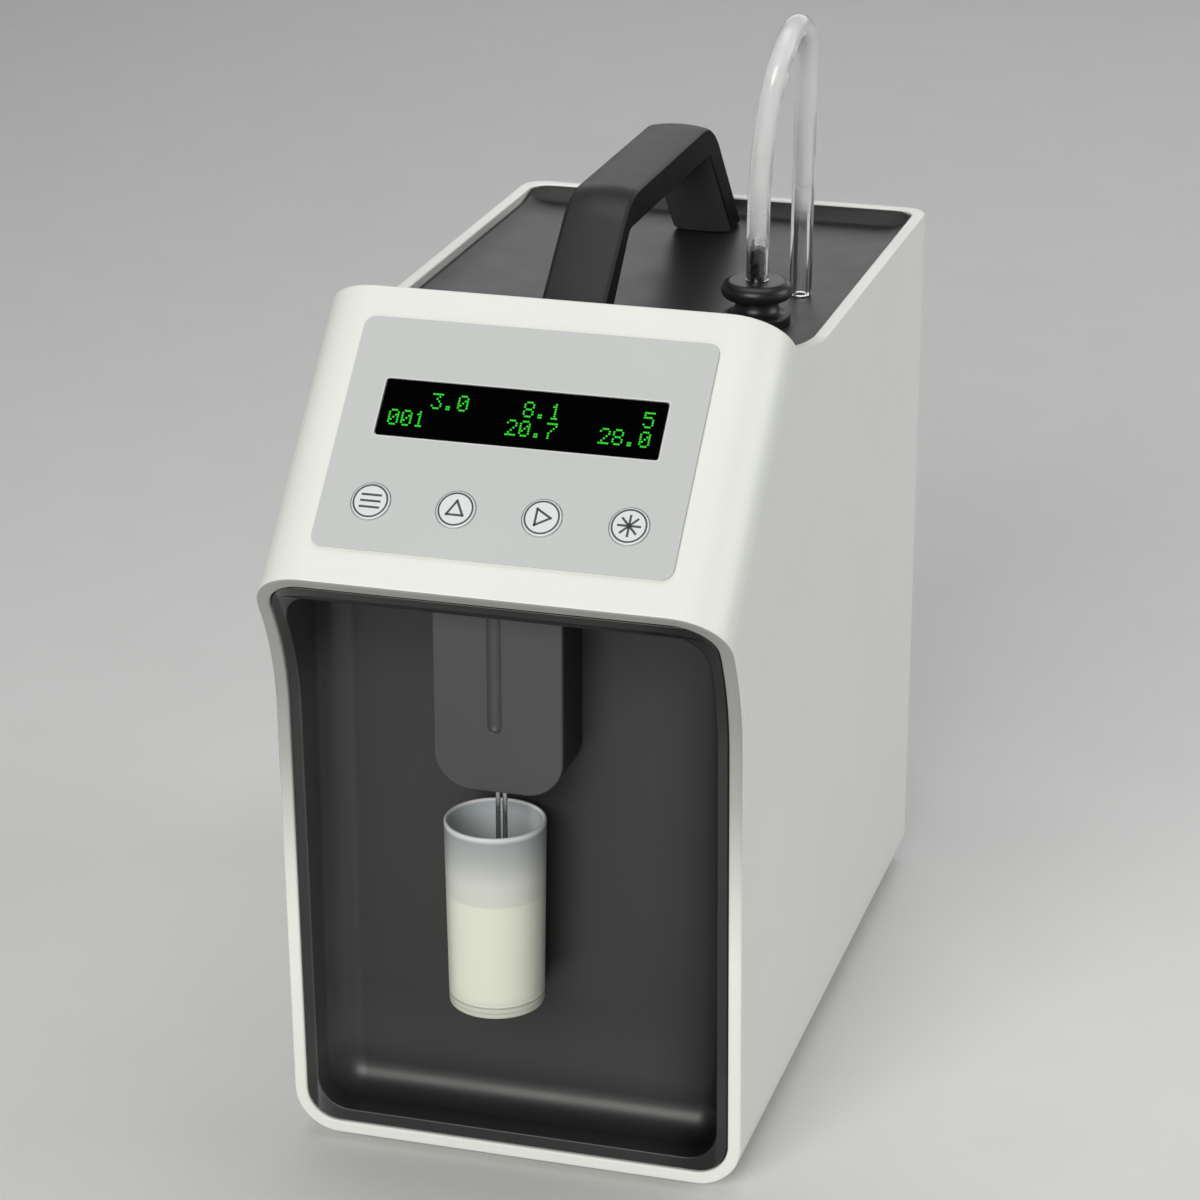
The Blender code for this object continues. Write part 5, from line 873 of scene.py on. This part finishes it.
def stage():
    top = CUP_BASE - FIT
    low = top - STAGE_FOOT_SHEET
    back = BAY_DEPTH - FIT
    left = CUP_X - STAGE_HALF_WIDTH
    right = CUP_X + STAGE_HALF_WIDTH
    rest = prism("cup_rest", rectangle(left, -STAGE_REACH, right, back, 0.0087, 14, 0), low, top)
    plate = rectangle(left, low + FIT, right, STAGE_TOP, 0, 14, 0.0025)
    combine(rest, prism("rest_plate", plate, back - STAGE_SHEET, back, "front"), "UNION")
    soften(rest, 0.0003)
    piece(rest, LINING, "cup_carriage", "cup_stage")


stage()


# Top tray and handle
SIDE_RISE = 0.0022
REAR_RISE = 0.0045


def tray_rise(y, far):
    """The tray's edge climbs towards the cream edge at the back."""
    way = min(1.0, max(0, (y - far + 0.018) / 0.016))
    return SIDE_RISE + (REAR_RISE - SIDE_RISE) * way * way * (3.0 - 2.0 * way)


def dished(side, near, far):
    """The room above the tray, whose floor sweeps up to its edges."""
    sweep = 0.0095
    steps = 12
    form = bmesh.new()
    rings = []
    for level in range(-1, steps + 1):
        turn = pi / 2 * max(level, 0) / steps
        inset = sweep * (1.0 - cos(turn))
        x = side - inset
        front = near + inset / 3.0
        back = far - inset * 0.42
        outline = rectangle(-x, front, x, back, 0.003, 12, 0.0068 - inset / 3.0)
        ring = []
        for a, b in zip(outline, outline[1:] + outline[:1]):
            # The long sides are divided, to follow the climb of the edge
            parts = 24 if dist(a, b) > 0.05 and abs(a[0] - b[0]) < FIT else 1
            for k in range(parts):
                point = (a[0] + (b[0] - a[0]) * k / parts, a[1] + (b[1] - a[1]) * k / parts)
                rise = tray_rise(point[1], far) * (1.0 - sin(turn))
                ring.append(form.verts.new((*point, STOCK_TOP + OVERRUN if level < 0 else TOP_FLOOR + rise)))
        rings.append(ring)
    skin(form, rings)
    return keep("dish", form, BODY)


def tray():
    ledge = 0.0005
    far = BODY_DEPTH - WALL_INSIDE - ledge
    panel = sleeve("top_tray", WALL_INSIDE, 0.036, BODY_DEPTH - WALL_INSIDE, STOCK_TOP, TOP_FLOOR - TOP_SHEET)
    cut(panel, above_panel("tray_under_panel", WALL_INSIDE, PANEL_LENGTH * 1.5))
    cut(panel, *rear_corners("tray_corner", WALL_INSIDE, INNER_RADIUS - FIT))
    dish = dished(HALF - WALL_INSIDE - ledge, 0.0385, far)
    start = 0.03975
    places = [start + (far - start) * k / 60.0 for k in range(61)]
    edge = [(y, TOP_FLOOR + tray_rise(y, far)) for y in places]
    over = STOCK_TOP + OVERRUN * 2
    edge += [(BODY_DEPTH + OVERRUN, edge[-1][1]), (BODY_DEPTH + OVERRUN, over), (start, over)]
    trim = prism("trim", edge, -HALF, HALF, "side")
    cut(panel, dish, trim, upright_rod("fitting_hole", 0.0053, *FITTING, 0.219, 0.242))
    for k, y in enumerate(HANDLE_SCREWS):
        cut(panel, upright_rod(f"handle_hole_{k}", HANDLE_BORE, 0, y, 0.219, 0.237))
    settle(panel, 0.00003)
    piece(panel, TRAY, node="top_panel")
    # The rear sweep of the tray takes the copy with painted light
    refinish(panel, TRAY_EDGE_LIT, lambda face: (
        face.center.y > 0.115 and face.normal.y < -0.12 and face.normal.z > 0.02
    ))


tray()


def crowned(name, outline, half_width, steps, shaped):
    """A strip across the handle, shaped by the share of the way from its middle to its side."""
    form = bmesh.new()
    rings = []
    for k in range(steps + 1):
        x = -half_width + 2.0 * half_width * k / steps
        rings.append([form.verts.new((x, *shaped(p, abs(x) / half_width))) for p in outline])
    skin(form, rings)
    return keep(name, form, BODY)


def carrying_handle():
    foot = TOP_FLOOR + FIT
    middle = 0.136
    opening_middle = 0.1374

    def strip(p, aside):
        """The strip is crowned, so it falls off towards both sides."""
        fall = aside ** 2.0
        return middle + (p[0] - middle) * (1.0 - 0.007 * fall), foot + (p[1] - foot) * (1.0 - 0.028 * fall)

    def opening(p, aside):
        """The opening widens towards both sides, so the inner faces are crowned."""
        grow = 1.0 + 0.035 * aside ** 3.0
        high = foot - 0.004 if p[1] <= foot else foot + (p[1] - foot) * (1 + (grow - 1) * 1.2)
        return opening_middle + (p[0] - opening_middle) * grow, high

    outer = rounded([
        (0.0435, foot, 0), (0.2285, foot, 0), (0.19, HANDLE_TOP, 0.027), (0.0927, HANDLE_TOP, 0.025),
    ], 20)
    grip = crowned("carry_handle", outer, HANDLE_HALF_WIDTH, 12, strip)
    soften(grip, 0.0015, 4, 50)
    inner = rounded([
        (0.057, foot, 0), (0.2165, foot, 0), (0.183, HANDLE_UNDER, 0.006), (0.0919, HANDLE_UNDER, 0.006),
    ], 14)
    cut(grip, crowned("grip_opening", inner, HANDLE_HALF_WIDTH + 0.0005, 16, opening))
    settle(grip, 0.00003)
    soften(grip, 0.0005, 3, 40)
    for k, y in enumerate(HANDLE_SCREWS):
        cut(grip, upright_rod(f"handle_bore_{k}", HANDLE_BORE, 0, y, foot - 0.0025, foot + 0.0048))
    piece(grip, GRIP, node="handle")
    # The handle's sides take the copy with painted shade
    refinish(grip, HANDLE_SIDE_SHADE, lambda face: abs(face.normal.x) > 0.8)
    # The faces that look down, inside the handle's opening, take the copy with painted light
    refinish(grip, GRIP_INSIDE_LIT, lambda face: abs(face.normal.x) < 0.6 and face.normal.z < -0.3)


carrying_handle()


def fitting():
    foot = TOP_FLOOR + FIT
    flange = foot + 0.0028
    neck = flange + 0.0045
    ring = 0.0057 / 2
    top = neck + 0.0057
    tip = top + 0.0095
    barb = 0.0025
    nipple = 0.0021
    profile = [(0.0012, tip), (0.0019, tip - 0.0001), (0.0023, tip - 0.0008)]
    profile += [(barb, top + 0.0056), (barb, top + 0.0052), (nipple, top + 0.005), (nipple, top + 0.003)]
    profile += [(barb, top + 0.0027), (barb, top + 0.0023), (nipple, top + 0.002), (nipple, top + 0.0002)]
    profile += [(0.0036, top + 0.00005), (0.0052, top)]
    profile += arc((0.011 - ring, neck + ring), ring, 88, -88.0, 20)
    profile += bend((0.0068, neck), (0.0065, neck), (0.0065, neck - 0.0004), 4)
    profile += bend((0.0065, neck - 0.0009), (0.0066, flange), (0.0099, flange), 10)
    profile += [(0.0102, flange - 0.0003), (0.0103, flange - 0.0006), (0.0103, foot), (0.005, foot)]
    profile += [(0.005, foot - 0.009), (0.0012, foot - 0.009)]
    body = turned("hose_fitting", profile, (*FITTING, 0), steps=96, closed=True)
    piece(body, FITTING_BLACK, node="outlet_fitting")


fitting()


# Control panel
def stroke(points, closed=False):
    """A flat line, as one quad for each run."""
    outlines = []
    for a, b in zip(points, points[1:] + (points[:1] if closed else [])):
        a = Vector(a)
        b = Vector(b)
        along = (b - a).normalized() * 0.00034
        across = Vector((-along.y, along.x))
        a -= along
        b += along
        outlines.append([a + across, a - across, b - across, b + across])
    return outlines


def icon(kind, x, s):
    if kind == "up_key":
        return stroke([(x - 0.0024, s - 0.0018), (x + 0.0024, s - 0.0018), (x, s + 0.0026)], True)
    if kind == "right_key":
        return stroke([(x - 0.0017, s - 0.0025), (x + 0.0026, s), (x - 0.0017, s + 0.0025)], True)
    lines = []
    if kind == "menu_key":
        for d in (-1, 0, 1):
            lines += stroke([(x - 0.0027, s + d * 0.0019), (x + 0.0027, s + d * 0.0019)])
        return lines
    for k in range(4):
        c = 0.0031 * cos(pi * k / 4)
        d = 0.0031 * sin(pi * k / 4)
        lines += stroke([(x - c, s - d), (x + c, s + d)])
    return lines


def window_plate(name, grow, low, high, radius=0.0008):
    """A plate of the display window's outline, grown on all sides."""
    side = 0.04165 + grow
    outline = rectangle(-side, 0.04725 - grow, side, 0.06505 + grow, radius, 4)
    return prism(name, outline, low, high, "plan", PANEL)


def control_panel():
    sheet_top = FIT + 0.0005
    outline = rectangle(-0.05285, 0.0111, 0.05285, 0.0849, 0.0035)
    sheet = prism("membrane_sheet", outline, FIT, sheet_top, "plan", PANEL)
    cut(sheet, window_plate("window_hole", FIT, -OVERRUN, OVERRUN))
    for name, x in KEYS:
        cut(sheet, upright_rod(name + "_ring", KEY_RADIUS + FIT, x, KEY_LINE, -OVERRUN, OVERRUN, PANEL, 72))
    settle(sheet)
    soften(sheet, 0.00012, 2, 40)
    piece(sheet, MEMBRANE, node="membrane_panel")
    window = window_plate("display_filter_sheet", 0, FIT, FIT + 0.0007)
    soften(window, 0.00015, 2, 40)
    piece(window, GLASS_BLACK, node="display_window")
    edge = window_plate("window_outline", 0.00065, sheet_top, sheet_top + 0.00004, 0.001)
    cut(edge, window_plate("edge_hole", FIT + 0.00002, -OVERRUN, OVERRUN))
    piece(edge, WINDOW_LINE, flat=True)
    # The keys' caps are a little crowned, and their stems reach through the housing
    under = FIT + 0.0004
    top = under + 0.0004 + 0.00015
    low = top - 0.00003
    high = top + 0.00002
    for name, x in KEYS:
        cap = turned(name + "_cap", [
            (0, top), (0.005, top), (0.0053, top - 0.00003), (0.0055, top - 0.0001),
            (KEY_RADIUS, top - 0.0003), (KEY_RADIUS, under), (0.002, under), (0.002, -0.0062), (0, -0.0062),
        ], (x, KEY_LINE, 0), PANEL, 96)
        piece(cap, KEY_FACE, name, name, 40)
        mark = turned(name + "_ring", [(0.0052, low), (0.0052, high), (0.00466, high), (0.00466, low)],
                      (x, KEY_LINE, 0), PANEL, 72, True)
        piece(mark, PRINT_DARK, name, flat=True)
        sign = plates(name + "_sign", icon(name, x, KEY_LINE), low, high, PANEL)
        piece(sign, PRINT_DARK, name, flat=True)


control_panel()

DOTS = {
    "0": "01110 10001 10011 10101 11001 10001 01110", "1": "00100 01100 00100 00100 00100 00100 01110",
    "2": "01110 10001 00001 00010 00100 01000 11111", "3": "11111 00010 00100 00010 00001 10001 01110",
    "5": "11111 10000 11110 00001 00001 10001 01110", "7": "11111 00001 00010 00100 01000 01000 01000",
    "8": "01110 10001 10001 01110 10001 10001 01110", ".": "00000 00000 00000 00000 00000 01100 01100",
}


def display_numbers():
    """Two lines of numbers, each of 5 by 7 dots."""
    outlines = []
    pitch = 0.0039
    dot = 0.00026
    for line, s in (("   3.0    8.1      5", 0.0591), ("001      20.7   28.0", 0.053)):
        for column, sign in enumerate(line):
            left = (column - 10) * pitch + 0.0005
            for row, bits in enumerate(DOTS.get(sign, "").split()):
                for k, bit in enumerate(bits):
                    if bit == "1":
                        x = left + k * 0.00064
                        y = s + (3 - row) * 0.00074
                        outlines.append(rectangle(x - dot, y - dot, x + dot, y + dot))
    numbers = plates("display_numbers", outlines, FIT + 0.00068, FIT + 0.00073, PANEL)
    piece(numbers, DIGITS, flat=True)


display_numbers()


# Rear panel and what it carries
VENTS = 9
VENT_TOP = 0.2
VENT_PITCH = 0.006


def slab(name, half_width, half_height, x, z, near, far):
    return block(name, (x - half_width, near, z - half_height), (x + half_width, far, z + half_height))


def rear():
    near = REAR_INSIDE - OVERRUN
    far = REAR_FACE + OVERRUN
    sheet = rear_plate("rear_sheet", FIT, REAR_INSIDE, REAR_FACE)
    soften(sheet, 0.0002, 2, 40)
    for k in range(VENTS):
        z = VENT_TOP - k * VENT_PITCH
        outline = rectangle(-0.03, z - 0.0014, 0.03, z + 0.0014, 0.0011)
        cut(sheet, prism(f"vent_{k}", outline, near, far, "front"))
    cut(sheet, level_rod("inlet_hole", 0.0078, INLET_X, SOCKET_Z, near, far))
    cut(sheet, slab("socket_hole", 0.0088, 0.0045, SOCKET_X, SOCKET_Z, near, far))
    cut(sheet, slab("switch_hole", 0.0065, 0.0095, 0, SWITCH_Z, near, far))
    for k, (x, z) in enumerate(REAR_SCREWS):
        cut(sheet, level_rod(f"sheet_hole_{k}", SCREW_HOLE, x, z, near, far, 32))
    piece(sheet, PAINT, node="rear_panel")
    for k, (x, z) in enumerate(REAR_SCREWS):
        head = turned(f"rear_screw_{k + 1}_head", [
            (0, 0.0012), (0.0012, 0.00117), (0.002, 0.001), (0.0026, 0.0006), (0.0028, 0.0002),
            (0.0028, 0), (0.0015, 0), (0.0015, -0.004), (0, -0.004),
        ], (x, REAR_FACE + FIT, z), BODY, 48, spin=REARWARD)
        # A cross slot, turned a little further in each screw
        for turn in (0.3 + k, 0.3 + k + pi / 2):
            c = 0.0016 * cos(turn)
            s = 0.0016 * sin(turn)
            n = Vector((-s, c)).normalized() * 0.0003
            cut(head, prism(f"slot_{k}_{turn:.1f}", [
                (x - c - n.x, z - s - n.y), (x + c - n.x, z + s - n.y),
                (x + c + n.x, z + s + n.y), (x - c + n.x, z - s + n.y),
            ], REAR_FACE + FIT + 0.0005, far, "front"))
        piece(head, ZINC, node=f"rear_screw_{k + 1}")


rear()


def connectors():
    front = REAR_FACE + FIT
    place = (INLET_X, front, SOCKET_Z)
    inlet = turned("inlet_socket", [
        (0, 0.0025), (0.0092, 0.0025), (0.0097, 0.0023), (0.01, 0.0018), (0.01, 0), (0.0075, 0),
        (0.0075, -0.014), (0, -0.014),
    ], place, BODY, 72, spin=REARWARD)
    # The bore leaves the pin standing
    cut(inlet, turned("inlet_bore", [(0.001, 0.0125), (0.0045, 0.0125), (0.0045, -0.009), (0.001, -0.009)],
                      place, BODY, 48, True, REARWARD))
    cut(inlet, level_rod("pin_face", 0.002, INLET_X, SOCKET_Z, front + 0.0022, front + 0.0122))
    soften(inlet, 0.00015, 2, 50)
    piece(inlet, CONNECTOR, node="power_inlet")
    outline = rectangle(-0.0075, SWITCH_Z - 0.0105, 0.0075, SWITCH_Z + 0.0105, 0.001)
    surround = prism("switch_surround", outline, front, front + 0.002, "front")
    soften(surround, 0.0004, 3, 50)
    body = slab("switch_body", 0.0062, 0.0092, 0, SWITCH_Z, front - 0.016, front + 0.001)
    combine(surround, body, "UNION")
    cut(surround, slab("switch_opening", 0.0047, 0.0077, 0, SWITCH_Z, front - 0.0145, front + OVERRUN))
    piece(surround, CONNECTOR, node="switch_frame")
    # The rocker rests with its upper end pressed in
    pivot = BODY @ Matrix.Translation((0, front - 0.002, SWITCH_Z))
    pivot @= Matrix.Rotation(radians(9.0), 4, "X")
    rocker = prism("rocker", [
        (0.004, 0), (0.00428, 0.0022), (0.00495, 0.0044), (0.0058, 0.0066), (0, 0.0063), (-0.002, 0),
        (0, -0.0063), (0.0058, -0.0066), (0.00495, -0.0044), (0.00428, -0.0022),
    ], -0.0044, 0.0044, "side", pivot)
    soften(rocker, 0.0003, 3, 34)
    piece(rocker, CONNECTOR, "power_rocker", "power_rocker")


connectors()


def feet():
    for name, (x, y) in FEET.items():
        foot = turned(name + "_pad", [
            (0, 0.0034), (0.0017, 0.0034), (0.002, 0.0031), (0.002, -0.0003), (0.0067, -0.0003),
            (0.007, -0.0005), (0.007, -0.0016), (0.0066, -0.002), (0.0045, -0.002), (0.0042, -0.0017),
            (0, -0.0017),
        ], (x, y, 0), BODY, 64)
        piece(foot, RUBBER, node=name)


feet()

# Finishes of the CAD nodes that stay
STAYING = {
    ZINC: (
        "handle_screw_front", "handle_screw_rear", "fitting_nut", "chassis_plate", "pump_motor",
        "pump_bracket",
    ),
    BOARD: ("control_board", "main_board"),
    GLASS_BLACK: ("display_module",),
    LINING: ("stage_runner", "front_transducer", "rear_transducer", "pump_housing"),
    STEEL: ("measuring_cell", "data_socket"),
    ALUMINIUM: ("cell_cradle", "pump_rotor"),
    KEY_FACE: ("pump_roller_1", "pump_roller_2", "pump_roller_3"),
    TUBING: ("pump_line", "sample_hose", "rinse_hose", "cell_hose", "outlet_hose"),
}
for material, names in STAYING.items():
    for name in names:
        mesh = frame["nodes"][name].data
        mesh.materials.clear()
        mesh.materials.append(material)


# Floor, lights and world
floor = bpy.data.meshes.new("floor")
form = bmesh.new()
bmesh.ops.create_grid(form, x_segments=8, y_segments=8, size=6.0)
form.to_mesh(floor)
form.free()
floor.materials.append(surface("pale_floor", (0.74, 0.74, 0.73), 0.65, tint=0.01))
new_object("floor", floor)


def area(name, location, target, size, watts, colour=(1.0, 1.0, 1.0)):
    data = bpy.data.lights.new(name, "AREA")
    data.shape = "RECTANGLE"
    data.size, data.size_y = size
    data.energy = watts
    data.color = colour
    obj = new_object(name, data)
    obj.location = location
    obj.rotation_euler = (Vector(target) - Vector(location)).to_track_quat("-Z", "Y").to_euler()


area("key_light", (-0.15, -2.15, 1.0), (0, 0, 0.12), (1.4, 1.1), 38.5, (1, 0.995, 0.965))
area("top_light", (0, 0.1, 1.8), (0, 0, 0.2), (1.4, 1.0), 9.0)
area("side_light", (1.8, 0.5, 0.8), (0, 0, 0.15), (1.2, 1.0), 11, (0.99, 1.0, 0.99))
area("back_light", (0, 2.0, 0.95), (0, 0, 0.2), (2.2, 0.8), 6.0)
world = bpy.data.worlds.new("studio")
world.use_nodes = True
put(world.node_tree.nodes["Background"], Color=(0.86, 0.88, 0.92, 1.0), Strength=0.16)
scene.world = world
scene.view_settings.view_transform = "Standard"
